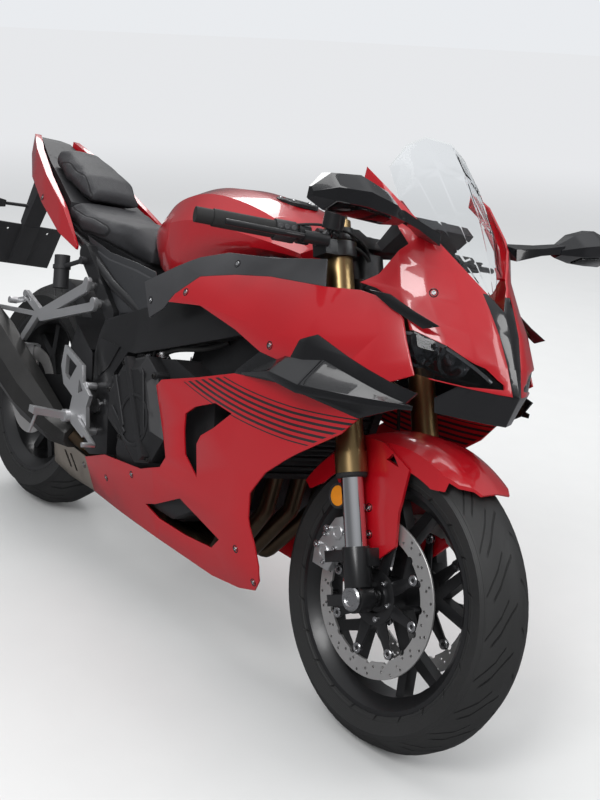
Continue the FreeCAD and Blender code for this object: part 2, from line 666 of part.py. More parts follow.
def front_caliper_nodes():
    body = caliper(WHEELBASE, front_axle_z, 138, 152, 24, -DISC_MIDDLE, DISC_RADIUS, 130, -leg_y + 12.3,
                   -38)
    return {"front_calipers": both(body)}


def by_front_axle(offsets):
    """Side points given from the front axle."""
    return [(WHEELBASE + x, front_axle_z + z) for x, z in offsets]


def front_fender():
    """An arch close over the tyre with a flap down each fork foot."""
    r = FENDER_OUTER
    w = FENDER_WALL
    section = [(r - 62, -74), (r - 24, -72), (r - 7, -48), (r, 0), (r - 7, 48), (r - 24, 72), (r - 62, 74),
               (r - 62, 74 - w), (r - 24 - w, 72 - w), (r - 7 - w, 48 - w / 2), (r - w, 0),
               (r - 7 - w, w / 2 - 48),
               (r - 24 - w, w - 72), (r - 62, w - 74)]
    arch = turned(section, WHEELBASE, front_axle_z, 57.0, 93.0)
    # The lower edge rises towards the pointed front and the tail.
    keep = side_prism(by_front_axle([(191, 261), (165, 257), (111, 249), (63, 241), (22, 225), (-125, 211),
                                     (-245, 131),
                                     (-305, 141), (-305, 401), (215, 401)]), -90, 90)
    right = [Vec(WHEELBASE + x, y, 300) for x, y in ((-325, -90), (55, -86), (135, -62), (180, -30),
                                                     (189, 0))]
    plan = right + [Vec(p.x, -p.y, p.z) for p in reversed(right[:-1])]
    arch = arch.common(keep).common(face_of(plan).extrude(Vec(0, 0, 500)))
    flap = side_prism(by_front_axle([(22, 261), (22, 198), (21, 177), (34, 115), (-16, 61), (-37, 65),
                                     (-65, 93),
                                     (-100, 139), (-127, 151), (-167, 191), (-185, 246), (-125, 286),
                                     (-55, 289)]),
                      -FLAP_OUTER, -74 + w / 2)
    slot = side_prism(by_front_axle([(-41, 261), (-5, 257), (-27, 277)]), -100, 100)
    legs = [on_fork(Part.makeCylinder(TUBE_RADIUS + 5, 400, Vec(0, side * leg_y, TUBE_BOTTOM - 2), AXIS_Z))
            for side in (-1, 1)]
    return fused([arch, flap, mirrored(flap)]).cut(slot).cut(legs[0]).cut(legs[1])


def reflectors():
    face = fused([cross_rod(REFLECTOR_X, REFLECTOR_Z, 24, -FLAP_OUTER - 14, -FLAP_OUTER - 6),
                  cross_rod(REFLECTOR_X, REFLECTOR_Z, 6, -FLAP_OUTER - 8, -FLAP_OUTER)])
    return both(face)


# Frame, swingarm and what hangs on them

def head_point(s, y=0.0):
    point = Vec(-fork_offset, y, s)
    rotation = FreeCAD.Rotation(AXIS_Y, -RAKE)
    return rotation.multVec(point) + Vec(WHEELBASE, 0, front_axle_z)


def frame():
    head_low = LOWER_CLAMP_TOP + HEAD_END_GAP
    head_high = BAR_CLAMP_TOP - 8
    bottom, top = head_point(head_low), head_point(head_high)
    head = rod(bottom, top, STEM_RADIUS + RUNNING_GAP + HEAD_WALL)
    spar = box_beam(SPAR_STATIONS)
    plate = side_prism(PLATE_OUTLINE, -PLATE_OUTER, -PLATE_INNER)
    pad = side_prism([(430, 560), (420, 520), (450, 470), (486, 500), (520, 560)], -PLATE_OUTER - 4,
                     -PLATE_OUTER)
    right = [mirrored(spar), plate, pad]
    left = [mirrored(shape) for shape in right]
    bridge = cross_rod(SHOCK_HIGH.x, SHOCK_HIGH.z, 16, -PLATE_INNER - 5, PLATE_INNER + 5)
    low_bridge = cross_rod(470, 298, 12, -PLATE_INNER - 5, PLATE_INNER + 5)
    panel_pegs = both(rod(Vec(950, -150, 740), Vec(950, -262, 775), 9).common(inner_hull()))
    tank_lugs = both(box((1008, 1036), (-112, -66), (846, 885)).cut(fuel_tank()))
    whole = fused([head, bridge, low_bridge] + right + left + panel_pegs + tank_lugs + both(nose_stay())
                  + [stand_bracket()])
    bore = round_rod(bottom - (top - bottom), top + (top - bottom), STEM_RADIUS + RUNNING_GAP)
    pivot_bore = round_cross(PIVOT_X, PIVOT_Z, 12, -300, 300)
    return largest(whole.cut(bore).cut(pivot_bore))


def nose_stay():
    """A round arm from the steering head out to the inside of the nose."""
    arm = tube([Vec(1156, -20, 846), Vec(1286, -34, 868), Vec(1440, -168, 852)], 9, 60)
    return largest(arm.common(nose_solid(SKIN + SEAT_GAP).fuse(box((1100, 1330), (-200, 0), (800, 900)))))


def largest(shape):
    return max(shape.Solids, key=lambda solid: solid.Volume)


def subframe(grow=0.0):
    top_rail = tube([Vec(585, -146, 650), Vec(410, -146, 692), Vec(240, -132, 752), Vec(60, -112, 782),
                     Vec(-60, -92, 838),
                     Vec(-270, -46, 902)], 13 + grow, 60)
    brace = strip((440, 622), (262, 744), 40, -SUBFRAME_OUTER, -SUBFRAME_INNER)
    parts = both(top_rail) + both(brace)
    for x, z, reach in ((255, 748, 132), (-60, 838, 92), (-240, 893, 52)):
        parts.append(cross_rod(x, z, 9 + grow, -reach, reach))
    return fused(parts).cut(frame_envelope())


def frame_envelope():
    """The space that the frame's spars and plates fill where the rails bolt on."""
    return fused(both(mirrored(box_beam(SPAR_STATIONS))) + both(side_prism(PLATE_OUTLINE, -PLATE_OUTER,
                                                                           -PLATE_INNER)))


def swingarm():
    pivot = cross_rod(PIVOT_X, PIVOT_Z, PIVOT_RADIUS, -PLATE_INNER + SEAT_GAP, PLATE_INNER - SEAT_GAP)
    beam = box_beam([
        (478, 78, 126, 372, 430),
        (400, 84, 130, 350, 434),
        (300, 114, 144, 335, 430),
        (180, ARM_INNER, ARM_OUTER, 312, 405),
        (40, ARM_INNER, ARM_OUTER, 290, 368),
        (-56, ARM_INNER + 3, ARM_OUTER - 2, 294, 342),
    ])
    bridge = loft([[Vec(x, y, z) for y, z in ((-96, low), (96, low), (96, high), (-96, high))]
                   for x, low, high in ((470, 374, 428), (368, 362, 430))])
    low, along = shock_line()
    shock_ear = box((384, 420), (-22, 22), (425, 470)).cut(round_rod(low - along * SEAT_GAP,
                                                                     low + along * 80, 60))
    whole = fused([pivot, bridge, shock_ear] + both(beam))
    whole = whole.cut(round_cross(0, rear_axle_z, AXLE_RADIUS + FIT, -200, 200))
    whole = whole.cut(round_cross(PIVOT_X, PIVOT_Z, 12, -200, 200))
    for side in (-1, 1):
        face = side * (ARM_OUTER - 1.4)
        whole = whole.cut(round_cross(SPOOL_X, SPOOL_Z, SPOOL_RADIUS, face - side * SPOOL_DEPTH,
                                      face + side * 8))
    return whole


def pivot_bolt():
    end = PLATE_OUTER
    return fused([cross_rod(PIVOT_X, PIVOT_Z, 12 - FIT, -end - 2, end + 2),
                  cross_rod(PIVOT_X, PIVOT_Z, 18, -end - 10, -end - 4.3),
                  cross_rod(PIVOT_X, PIVOT_Z, 12 - FIT, -end - 6, -end),
                  cross_rod(PIVOT_X, PIVOT_Z, 18, end + 4.3, end + 10),
                  cross_rod(PIVOT_X, PIVOT_Z, 12 - FIT, end, end + 6)])


def shock_line():
    return SHOCK_LOW, (SHOCK_HIGH - SHOCK_LOW).normalize()


def rear_shock():
    low, along = shock_line()
    length = (SHOCK_HIGH - SHOCK_LOW).Length - SHOCK_END
    profile = [(17, 0), (17, 8)]
    coils = 5
    pitch = (length - 18) / coils
    for k in range(coils):
        base = 8 + k * pitch
        profile += [(30, base + 0.25 * pitch), (30, base + 0.6 * pitch), (20, base + 0.85 * pitch)]
    profile += [(16, length - 8), (16, length)]
    rings = [ring_of(low + along * s, along, radius, SHOCK_SIDES) for radius, s in profile]
    return skinned(rings)


def rear_axle():
    end = ARM_OUTER
    parts = [cross_rod(0, rear_axle_z, AXLE_RADIUS, -end - 12, end + 12),
             cross_rod(0, rear_axle_z, 20, -end - 8, -end), cross_rod(0, rear_axle_z, 20, end, end + 8),
             cross_rod(0, rear_axle_z, 18, CHAIN_LINE + SPROCKET_THICK / 2 + 2, ARM_INNER - 0.4),
             cross_rod(0, rear_axle_z, 18, -ARM_INNER + 0.4, -REAR_DISC_MIDDLE - DISC_THICK / 2 - 2)]
    return fused(parts)


def rear_hugger():
    r = REAR_RADIUS + 14
    arch = turned([(r - 24, -80), (r, -70), (r, 70), (r - 24, 80), (r - 24, 77), (r - 3, 67), (r - 3, -67),
                   (r - 24, -77)], 0, rear_axle_z, 22, 62)
    shelf = turned([(r - 3, -122), (r, -122), (r, 122), (r - 3, 122)], 0, rear_axle_z, 34, 17)
    fin = side_prism([(196, 410), (232, 552), (330, 500), (352, 433), (298, 430.5)], -122, -ARM_INNER - 0.5)
    return fused([arch, shelf] + both(fin))


def rear_caliper():
    body = caliper(0, rear_axle_z, 104, 128, 22, -REAR_DISC_MIDDLE, REAR_DISC_RADIUS, 94, -ARM_INNER + 3,
                   -74)
    tab = side_prism([(-40, 343), (30, 350), (0, 420), (-70, 400)], -ARM_INNER - 6, -ARM_INNER + 3)
    return largest(fused([body, tab]).cut(swingarm()))


def chain():
    """The drive chain as one plain loop round both sprockets."""
    rear_r = CHAIN_PITCH / (2 * math.sin(math.pi / REAR_TEETH))
    front_r = CHAIN_PITCH / (2 * math.sin(math.pi / FRONT_TEETH))
    front = (SPROCKET_X, SPROCKET_Z)
    rear = (0.0, rear_axle_z)
    gap = math.hypot(front[0] - rear[0], front[1] - rear[1])
    tilt = math.degrees(math.atan2(front[1] - rear[1], front[0] - rear[0]))
    spread = math.degrees(math.asin((rear_r - front_r) / gap))
    top, bottom = tilt + 90 - spread, tilt - 90 + spread

    def run(edge):
        points = []
        for k in range(REAR_CHORDS + 1):
            angle = top + (360 + bottom - top) * k / REAR_CHORDS
            points.append(polar(rear[0], rear[1], rear_r + edge, angle))
        for k in range(FRONT_CHORDS + 1):
            angle = bottom + (top - bottom) * k / FRONT_CHORDS
            points.append(polar(front[0], front[1], front_r + edge, angle))
        return points

    half = CHAIN_HEIGHT / 2
    outer = side_prism(run(half), CHAIN_LINE - CHAIN_WIDTH / 2, CHAIN_LINE + CHAIN_WIDTH / 2)
    inner = side_prism(run(0.0), CHAIN_LINE - CHAIN_WIDTH / 2 - 1, CHAIN_LINE + CHAIN_WIDTH / 2 + 1)
    return outer.cut(inner)


# Engine and exhaust

def engine():
    rear = side_prism([(506, 520), (506, 305), (600, 262), (600, 545), (540, 545)], SEAT_GAP - PLATE_INNER,
                      88)
    case = side_prism([(592, 330), (640, 250), (860, 250), (945, 300), (968, 430), (935, 555), (760, 590),
                       (592, 548)],
                      -165, 165)
    pocket = round_cross(SPROCKET_X, SPROCKET_Z, 62, 88, 124)
    cylinders = side_prism([(770, 586), (935, 548), (1028, 684), (1000, 704), (862, 770)], -LUG_Y, LUG_Y)
    cover = side_prism([(862, 760), (1000, 700), (1016, 750), (990, 786), (888, 800)], -96, 96)
    sump = side_prism([(660, 256), (690, 232), (830, 232), (862, 256)], -110, 110)
    lugs = [cross_rod(852, 694, 20, side * (LUG_Y - 2), side * (134 - SEAT_GAP)) for side in (-1, 1)]
    lower = fused([rear, case, sump]).common(hull(SKIN + CASE_GAP)).cut(pocket)
    parts = [lower, cylinders, cover] + lugs
    for y in (-105, -35, 35, 105):
        parts.append(rod(Vec(985, y, 640), Vec(1012, y, 632), 23))
    shaft = cross_rod(SPROCKET_X, SPROCKET_Z, 14, 80, CHAIN_LINE + 8)
    gear = sprocket(FRONT_TEETH, SPROCKET_X, SPROCKET_Z, 10)
    pegs = [cross_rod(x, z, 8, 0.3 - y, -120) for x, z, y in ((690, 285, 166.5), (885, 545, 210.3))]
    return fused(parts + [shaft, gear] + pegs + [mirrored(peg) for peg in pegs])


def engine_covers():
    """The clutch cover on the right with its bolts and raised centre, the alternator cover on the left."""
    base = side_prism(COVER_OUTLINE, -196, -165)
    middle = (700.0, 460.0)
    raised = [(middle[0] + 0.74 * (x - middle[0]), middle[1] + 0.74 * (z - middle[1])) for x,
              z in COVER_OUTLINE]
    lower = [Vec(x, -196, z) for x, z in COVER_OUTLINE]
    upper = [Vec(x, -216, z) for x, z in raised]
    crown = loft([lower, upper])
    rib = side_prism([(640, 560), (652, 566), (790, 372), (780, 360)], -221, -200)
    bosses = [cross_rod(middle[0] + 0.93 * (x - middle[0]), middle[1] + 0.93 * (z - middle[1]), 9, -202,
                        -165)
              for x, z in COVER_OUTLINE[::2]]
    clutch = fused([base, crown, rib] + bosses)
    alternator = fused([cross_rod(850, 430, 66, 165, 180), turned([(0, 180), (66, 180), (50, 189),
                                                                   (0, 189)], 850, 430)])
    return [clutch, alternator]


def radiator():
    """A finned core between two side tanks, raked like the fork."""
    along = (RADIATOR_HIGH - RADIATOR_LOW).normalize()
    ahead = AXIS_Y.cross(along)
    length = (RADIATOR_HIGH - RADIATOR_LOW).Length

    def slab(y_low, y_high, depth, s_low, s_high):
        corners = [RADIATOR_LOW + ahead * d + along * s for d, s in
                   ((-depth / 2, s_low), (depth / 2, s_low), (depth / 2, s_high), (-depth / 2, s_high))]
        return side_prism([(p.x, p.z) for p in corners], y_low, y_high)

    half = RADIATOR_HALF
    parts = [slab(-half + 20, half - 20, 18, 0, length), slab(-half, -half + 22, 34, 6, length - 6),
             slab(half - 22, half, 34, 6, length - 6), slab(-half + 20, half - 20, 30, -2, 10),
             slab(-half + 20, half - 20, 30, length - 10, length + 2)]
    rows = 13
    for k in range(1, rows):
        s = k * length / rows
        parts.append(slab(-half + 20, half - 20, 26, s - 2, s + 2))
    parts += both(rod(Vec(1106, -half + 16, 690), Vec(1072, -108, 770), 7).cut(frame_envelope()))
    return fused(parts)


def exhaust_headers():
    """Four pipes round the front of the engine and under it into one chamber."""
    parts = []
    for y, low_y in ((-105, -72), (-35, -24), (35, 24), (105, 72)):
        parts.append(tube([Vec(1012.3, y, 632), Vec(1046, y, 622), Vec(1024, y, 330), Vec(930, low_y, 196),
                           Vec(700, low_y, 196)], 19, 24))
    chamber = loft([[Vec(x, y, z) for y, z in ((-half_y, 196 - half_z), (half_y, 196 - half_z),
                                              (half_y, 196 + half_z), (-half_y, 196 + half_z))]
                    for x, half_y, half_z in ((742, 92, 21), (690, 96, 32), (500, 92, 32), (440, 40, 26))])
    link = tube([Vec(520, -60, 204), Vec(446, -76, 214), Vec(414, -92, 252), Vec(369, -160, 300)], 19, 24)
    pegs = both(cross_rod(452, 206, 6, -125.2, -20))
    return fused(parts + [chamber, link] + pegs)


def muffler():
    """An eight-sided silencer with a stepped end cap and its outlet."""
    def ring(x, y, z, half_y, half_z, scale=1.0):
        cut = 0.42
        a, b = half_y * scale, half_z * scale
        return [Vec(x, y + v * a, z + w * b) for v, w in
                ((-1, -cut), (-cut, -1), (cut, -1), (1, -cut), (1, cut), (cut, 1), (-cut, 1), (-1, cut))]

    body = loft([ring(*station) for station in MUFFLER_STATIONS])
    x, y, z, half_y, half_z = MUFFLER_STATIONS[-1]
    cap = loft([ring(x, y, z, half_y, half_z, 0.94), ring(x - 38, y, z + 12, half_y, half_z, 0.72)])
    outlet = rod(Vec(x - 30, y, z + 8), Vec(x - 62, y, z + 17), 26)
    bore = round_rod(Vec(x - 20, y, z + 5), Vec(x - 80, y, z + 22), 22)
    whole = fused([body, cap, outlet]).cut(bore)
    return whole.cut(exhaust_headers())


# Bodywork. One surface carries every side panel: its half width by height, shrunk towards the ends.

_hulls = {}


def hull(inset):
    """The solid inside the side surface, taken in by an inset."""
    if inset not in _hulls:
        sections = []
        for x, scale in END_SCALE:
            right = [Vec(x, -(width * scale - inset), z) for z, width in HALF_WIDTHS]
            left = [Vec(p.x, -p.y, p.z) for p in reversed(right)]
            sections.append(right + left)
        _hulls[inset] = loft(sections)
    return _hulls[inset].copy()


def outer_hull():
    return hull(0.0)


def inner_hull():
    return hull(SKIN)


def skin_panel(outline, holes=(), inset=0.0, wall=SKIN):
    """A pair of thin panels cut from the side surface by a side outline."""
    reach = SIDE_MAX + 40
    blank = side_prism(outline, -reach, -20)
    for hole in holes:
        blank = blank.cut(side_prism(hole, -reach - 1, -19))
    return blank.common(hull(inset)).cut(hull(inset + wall))


def side_nodes():
    covers = skin_panel(COVER_PANEL)
    side = skin_panel(SIDE_PANEL).cut(side_prism(COVER_PANEL, -300, 300))
    lower = skin_panel(LOWER_PANEL, [VENT, BELLY_VENT])
    slots = [[(300 + k, 236), (312 + k, 238), (340 + k, 200), (328 + k, 198)] for k in (0, 34)]
    guard = skin_panel(GUARD, slots, GUARD_INSET, GUARD_WALL)
    return {"frame_covers": both(covers), "side_panels": both(side), "lower_panels": both(lower),
            "exhaust_guard": both(guard)}


def winglets():
    sections = [[Vec(x, -root_y, root_z - root_h), Vec(x, -tip_y, tip_z - tip_h), Vec(x, -tip_y, tip_z),
                 Vec(x, -root_y, root_z)]
                for x, root_y, root_z, tip_y, tip_z, root_h, tip_h in WINGLET_STATIONS]
    wing = loft(sections).cut(outer_hull()).cut(nose_solid(0))
    cheek = skin_panel(CHEEK_PANEL).cut(side_prism(SIDE_PANEL, -300, 300)).cut(nose_solid(0))
    return both(largest(fused([wing, cheek])))


def nose_solid(inset):
    sections = []
    for z, x0, x40, x80, x120, x150, rear_x, rear_y in NOSE_LEVELS:
        outer = [(rear_x - 60, rear_y - inset), (rear_x, rear_y - inset),
                 (x150 - inset * 0.5, 150 - inset * 0.8),
                 (x120 - inset * 0.7, 120 - inset * 0.7), (x80 - inset, 80 - inset * 0.5),
                 (x40 - inset, 40 - inset * 0.2), (x0 - inset, 0)]
        right = [Vec(x, -y, z) for x, y in outer]
        left = [Vec(x, y, z) for x, y in reversed(outer[:-1])]
        sections.append(right + left)
    return loft(sections)


def nose_roof():
    """Everything above the line where the windscreen sits."""
    def vee(x, low):
        return [Vec(x, 0, low), Vec(x, -260, low + 130), Vec(x, -260, 1400), Vec(x, 260, 1400),
                Vec(x, 260, low + 130)]
    return loft([vee(1620, 831), vee(1500, 885), vee(1150, 1042.5)])


def nose_nodes():
    shell = nose_solid(0).cut(nose_solid(SKIN))
    lamp_cut = side_prism(LAMP_OUTLINE, -260, -26).fuse(side_prism(LAMP_OUTLINE, 26, 260))
    band = [Vec(1700, y, z) for z, y in STRIP_HALF] + [Vec(1700, -y, z) for z, y in reversed(STRIP_HALF)]
    centre_strip = face_of(band).extrude(Vec(-400, 0, 0))
    rear = side_prism(NOSE_OUTLINE, -260, 260)
    red = shell.common(rear).cut(nose_roof()).cut(lamp_cut).cut(centre_strip).cut(windscreen())
    chin = shell.common(side_prism(CHIN_OUTLINE, -260, 260))
    trim = fused([shell.common(centre_strip), chin]).cut(nose_roof()).cut(lamp_cut).cut(windscreen())
    glass = nose_solid(2.5).cut(nose_solid(5.0)).common(side_prism(LAMP_OUTLINE, -260, -27))
    return {"nose_cowl": [fused([red] + both(screen_ledge()))], "nose_trim": [trim],
            "headlights": both(glass)}


def screen_ledge():
    """The flange inside the nose that the windscreen's side edge lies on."""
    sections = []
    for x, _, half, edge in SCREEN_STATIONS[1:4]:
        high, low = edge - 4 - SEAT_GAP, edge - 4 - SEAT_GAP - SKIN
        sections.append([Vec(x, -half - 44, low), Vec(x, 14 - half, low), Vec(x, 14 - half, high),
                         Vec(x, -half - 44, high)])
    return loft(sections).common(nose_solid(1.0))


def windscreen():
    sections = []
    for x, top, half, edge in SCREEN_STATIONS:
        outer = [(-half, edge), (-0.72 * half, edge + 0.62 * (top - edge)),
                 (-0.32 * half, edge + 0.94 * (top - edge)),
                 (0.32 * half, edge + 0.94 * (top - edge)), (0.72 * half, edge + 0.62 * (top - edge)),
                 (half, edge)]
        inner = [(y * 0.97, z - 4) for y, z in reversed(outer)]
        sections.append([Vec(x, y, z) for y, z in outer + inner])
    return loft(sections)


def fuel_tank():
    sections = []
    for x, top, half, bulge, bottom in TANK_STATIONS:
        rise = top - bulge
        right = [(0, top), (-0.42 * half, top - 0.06 * rise), (-0.76 * half, top - 0.3 * rise),
                 (-half, bulge),
                 (-0.94 * half, 0.4 * bulge + 0.6 * bottom), (-0.8 * half, bottom)]
        left = [(-y, z) for y, z in reversed(right[1:])]
        sections.append([Vec(x, y, z) for y, z in right + left])
    return loft(sections, False)


def rider_seat():
    """The seat, cut back where the rear of the tank stands on its nose."""
    tank = fuel_tank()
    behind = fuel_tank()
    behind.translate(Vec(-0.6, 0, -0.6))
    return largest(pad(RIDER_SEAT).cut(tank).cut(behind))


def pad(stations):
    sections = []
    for x, top, half, edge, bottom in stations:
        right = [(0, top), (-0.5 * half, top - 2), (-0.85 * half, top - 0.35 * (top - edge)), (-half, edge),
                 (-0.92 * half, bottom)]
        left = [(-y, z) for y, z in reversed(right[1:])]
        sections.append([Vec(x, y, z) for y, z in right + left])
    return loft(sections)


def tail_cowl():
    """The tail's dark core under both seats."""
    sections = []
    for x, half, top, bottom in TAIL_STATIONS:
        sections.append([Vec(x, -half, top), Vec(x, half, top), Vec(x, 0.8 * half, bottom),
                         Vec(x, -0.8 * half, bottom)])
    return loft(sections).cut(subframe(SEAT_GAP))


def tail_wings():
    """A wing panel with the peg that seats it on the seat rail."""
    panel = loft([[Vec(x, -outer, low), Vec(x, -outer, high), Vec(x, thick - outer, high),
                   Vec(x, thick - outer, low)]
                  for x, outer, low, high, thick in WING_STATIONS])
    return fused([panel, cross_rod(-130, 859, 6, -101, -91.6)])


# Rider controls, lamps, mirrors and stand


def rearsets():
    """Step brackets with their foot pegs and the feelers under the pegs."""
    plate = side_prism(REARSET_OUTLINE, -REARSET_OUTER, -REARSET_INNER)
    plate = plate.cut(side_prism([(336, 494), (396, 478), (372, 436), (346, 446)], -200, -180))
    plate = plate.cut(side_prism([(418, 452), (444, 428), (424, 416)], -200, -180))
    bosses = [cross_rod(x, z, 10, -REARSET_INNER, -PLATE_OUTER - SEAT_GAP) for x,
              z in ((441, 440), (478, 336))]
    x, z = PEG_START
    knuckle = cross_rod(x, z, 16, -REARSET_OUTER - 14, -REARSET_INNER)
    peg = loft([[Vec(px + a, py, pz + b) for a, b in ((-w, -8), (w, -8), (w, 9), (-w, 9))]
                for px, py, pz, w in ((x, -REARSET_OUTER - 10, z, 8), (x + 4, -300, z + 12, 13))])
    feeler = rod(Vec(x + 3, -284, z + 4), Vec(x, -294, z - 46), 4)
    return both(fused([plate, knuckle, peg, feeler] + bosses))


def foot_levers():
    """The brake pedal on the right and the shift pedal on the left, each on its bracket's outer face."""
    hub_at, toe_at = (452, 360), (548, 322)
    outer = -REARSET_OUTER
    return both(fused([cross_rod(*hub_at, 11, outer - 9, outer),
                       strip(hub_at, toe_at, 12, outer - 9, outer - 2),
                       cross_rod(*toe_at, 6, -232, outer - 3)]))


def pillion_brackets():
    """Cast arms that carry the rear pegs and hang the silencer."""
    outer, inner = -SUBFRAME_OUTER - 22, -SUBFRAME_OUTER - 10
    arms = [strip(start, end, width, outer, inner) for start, end, width in PILLION_ARMS]
    bosses = [cross_rod(x, z, 11, inner, -SUBFRAME_OUTER) for x, z in ((336, 670), (386, 636))]
    arms[0] = arms[0].fuse(strip((336, 664), (338, 680), 24, outer, inner))
    arms[1] = arms[1].fuse(strip((388, 628), (386, 640), 22, outer, inner))
    peg = fused([cross_rod(40, 572, 8, outer - 6, outer), cross_rod(0, 560, 9, outer - 26, outer - 4),
                 strip((40, 572), (0, 560), 14, outer - 6, outer)])
    slot = strip((66, 575), (42, 582), 7, outer - 1, inner + 1)
    right = fused(arms + bosses + [peg]).cut(slot)
    return [right.cut(muffler()), mirrored(right)]


def mirrors():
    sections = []
    for y, x, z, deep, high in MIRROR_STATIONS:
        sections.append([Vec(x + a * deep, -y, z + b * high) for a, b in
                         ((-1, -0.8), (-0.2, -1), (1, -0.35), (1, 0.35), (-0.1, 1), (-1, 0.9))])
    housing = loft(sections)
    x, y, z = MIRROR_FOOT
    foot = [Vec(x + a, -y + 6, z + b) for a, b in ((-26, -14), (22, -14), (16, 8), (-26, 12))]
    knee = [Vec(1410 + a, -168, 998 + b) for a, b in ((-15, -8), (13, -8), (13, 6), (-15, 8))]
    end = [Vec(1418 + a, -222, 1010 + b) for a, b in ((-12, -8), (12, -8), (12, 8), (-12, 8))]
    stalk = loft([foot, knee, end])
    whole = fused([housing, stalk])
    return both(largest(whole.cut(nose_solid(-1.2)).cut(windscreen())))


def dashboard():
    """The display in its hooded case, on two legs that stand on the nose stays."""
    case = side_prism([(1236, 946), (1252, 934), (1300, 984), (1284, 1000), (1270, 994)], -88, 88)
    hood = side_prism([(1284, 1000), (1300, 984), (1308, 996), (1286, 1010)], -92, 92)
    legs = [rod(Vec(1268, side * 32, 950), Vec(1262, side * 32, 866), 7) for side in (-1, 1)]
    legs = [leg.cut(nose_stay()).cut(mirrored(nose_stay())) for leg in legs]
    return [fused([case, hood] + [largest(leg) for leg in legs])]


def tail_lamp():
    return loft([[Vec(x, -half, low), Vec(x, half, low), Vec(x, 0.8 * half, high),
                  Vec(x, -0.8 * half, high)]
                 for x, half, low, high in ((-333, 30, 970, 994), (-346, 24, 972, 990))])


def plate_holder():
    """The arm under the tail with the bare number board and its two lamps on stalks."""
    arm = side_prism([(-196, 870), (-288, 930), (-330, 900), (-386, 740), (-368, 716), (-300, 850),
                      (-250, 860)],
                     -26, 26)
    x, z = PLATE_CENTRE
    board = box((x - 2, x + 2), (-110, 110), (z - 70, z + 70))
    spine = box((x + 1, x + 14), (-26, 26), (z - 60, z + 72))
    holes = [Part.makeCylinder(PLATE_HOLE_RADIUS, 60, Vec(x - 20, y, z + 50), AXIS_X) for y in (-65, 65)]
    plate = board.fuse(spine)
    for hole in holes:
        plate = plate.cut(hole)
    plate.rotate(Vec(x, 0, z), AXIS_Y, PLATE_TILT)
    stalks = []
    for side in (-1, 1):
        stalks.append(rod(Vec(-356, side * 20, 790), Vec(-366, side * 100, 786), 5))
        stalks.append(loft([[Vec(-366 + a, side * y, 786 + b) for a, b in
                             ((-w, -0.6 * w), (w, -w), (w, w), (-w, 0.6 * w))] for y,
                            w in ((96, 10), (118, 13), (140, 7))]))
    return [largest(fused([arm, plate] + stalks).cut(tail_cowl()).cut(subframe(SEAT_GAP)))]


def preload_knob():
    """The remote spring adjuster on the right rail, a ribbed cylinder on a short arm."""
    top, bottom = Vec(176, -170, 718), Vec(196, -170, 636)
    body = fused([rod(top, bottom, 20), rod(top + (bottom - top) * 0.3, top + (bottom - top) * 0.42, 23)])
    arm = rod(top + (bottom - top) * 0.36, Vec(280, -168, 724), 6)
    foot = cross_rod(280, 724, 10, -SUBFRAME_OUTER - 15, -SUBFRAME_OUTER - SEAT_GAP)
    return fused([body, arm, foot])


def ground_at(y):
    """The height of the ground beside the upright bike, where it stands once it leans."""
    return y * math.tan(lean_rad) - parked_lift / math.cos(lean_rad)


def stand_line():
    pivot = Vec(*STAND_PIVOT)
    foot = Vec(STAND_FOOT[0], STAND_FOOT[1], ground_at(STAND_FOOT[1]))
    along = (foot - pivot).normalize()
    turn = Vec(0, along.z, -along.y)
    if turn.y < 0:
        turn = turn * -1
    return pivot, foot, along, turn.normalize()


def stand_bracket():
    """The boss and pin on the left frame plate that the side stand turns on."""
    pivot, _, _, turn = stand_line()
    half = STAND_HEAD / 2
    boss = rod(pivot - turn * 22, pivot - turn * (half + AXLE_GAP), 15)
    pin = rod(pivot - turn * 20, pivot + turn * (half + 5), STAND_PIN)
    cap = rod(pivot + turn * (half + AXLE_GAP), pivot + turn * (half + 5), STAND_PIN + 5)
    return fused([boss, pin, cap])


def side_stand():
    pivot, foot, along, turn = stand_line()
    half = STAND_HEAD / 2
    head = rod(pivot - turn * half, pivot + turn * half, 16)
    leg = rod(pivot + along * 32, foot - along * 2, STAND_RADIUS)
    side = along.cross(turn)
    corners = [pivot - turn * half + along * a + side * b for a,
               b in ((0, -15), (0, 15), (44, 11), (44, -11))]
    neck = face_of(corners).extrude(turn * (2 * half))
    down = Vec(0, -math.sin(lean_rad), math.cos(lean_rad))
    ahead = AXIS_X
    out = down.cross(ahead)
    corners = [foot + ahead * a + out * b for a, b in ((-34, -22), (30, -22), (38, 0), (30, 22), (-34, 22))]
    pad_foot = face_of(corners).extrude(down * 8)
    spike = rod(pivot + along * 120, pivot + along * 120 + turn * 40, 5)
    below = face_of([foot + ahead * a + out * b for a, b in ((-200, -200), (200, -200), (200, 200),
                                                             (-200, 200))])
    stand = fused([head, neck, leg, pad_foot, spike]).cut(below.extrude(down * -60))
    return [stand.cut(round_rod(pivot - turn * 30, pivot + turn * 30, STAND_PIN + AXLE_GAP))]


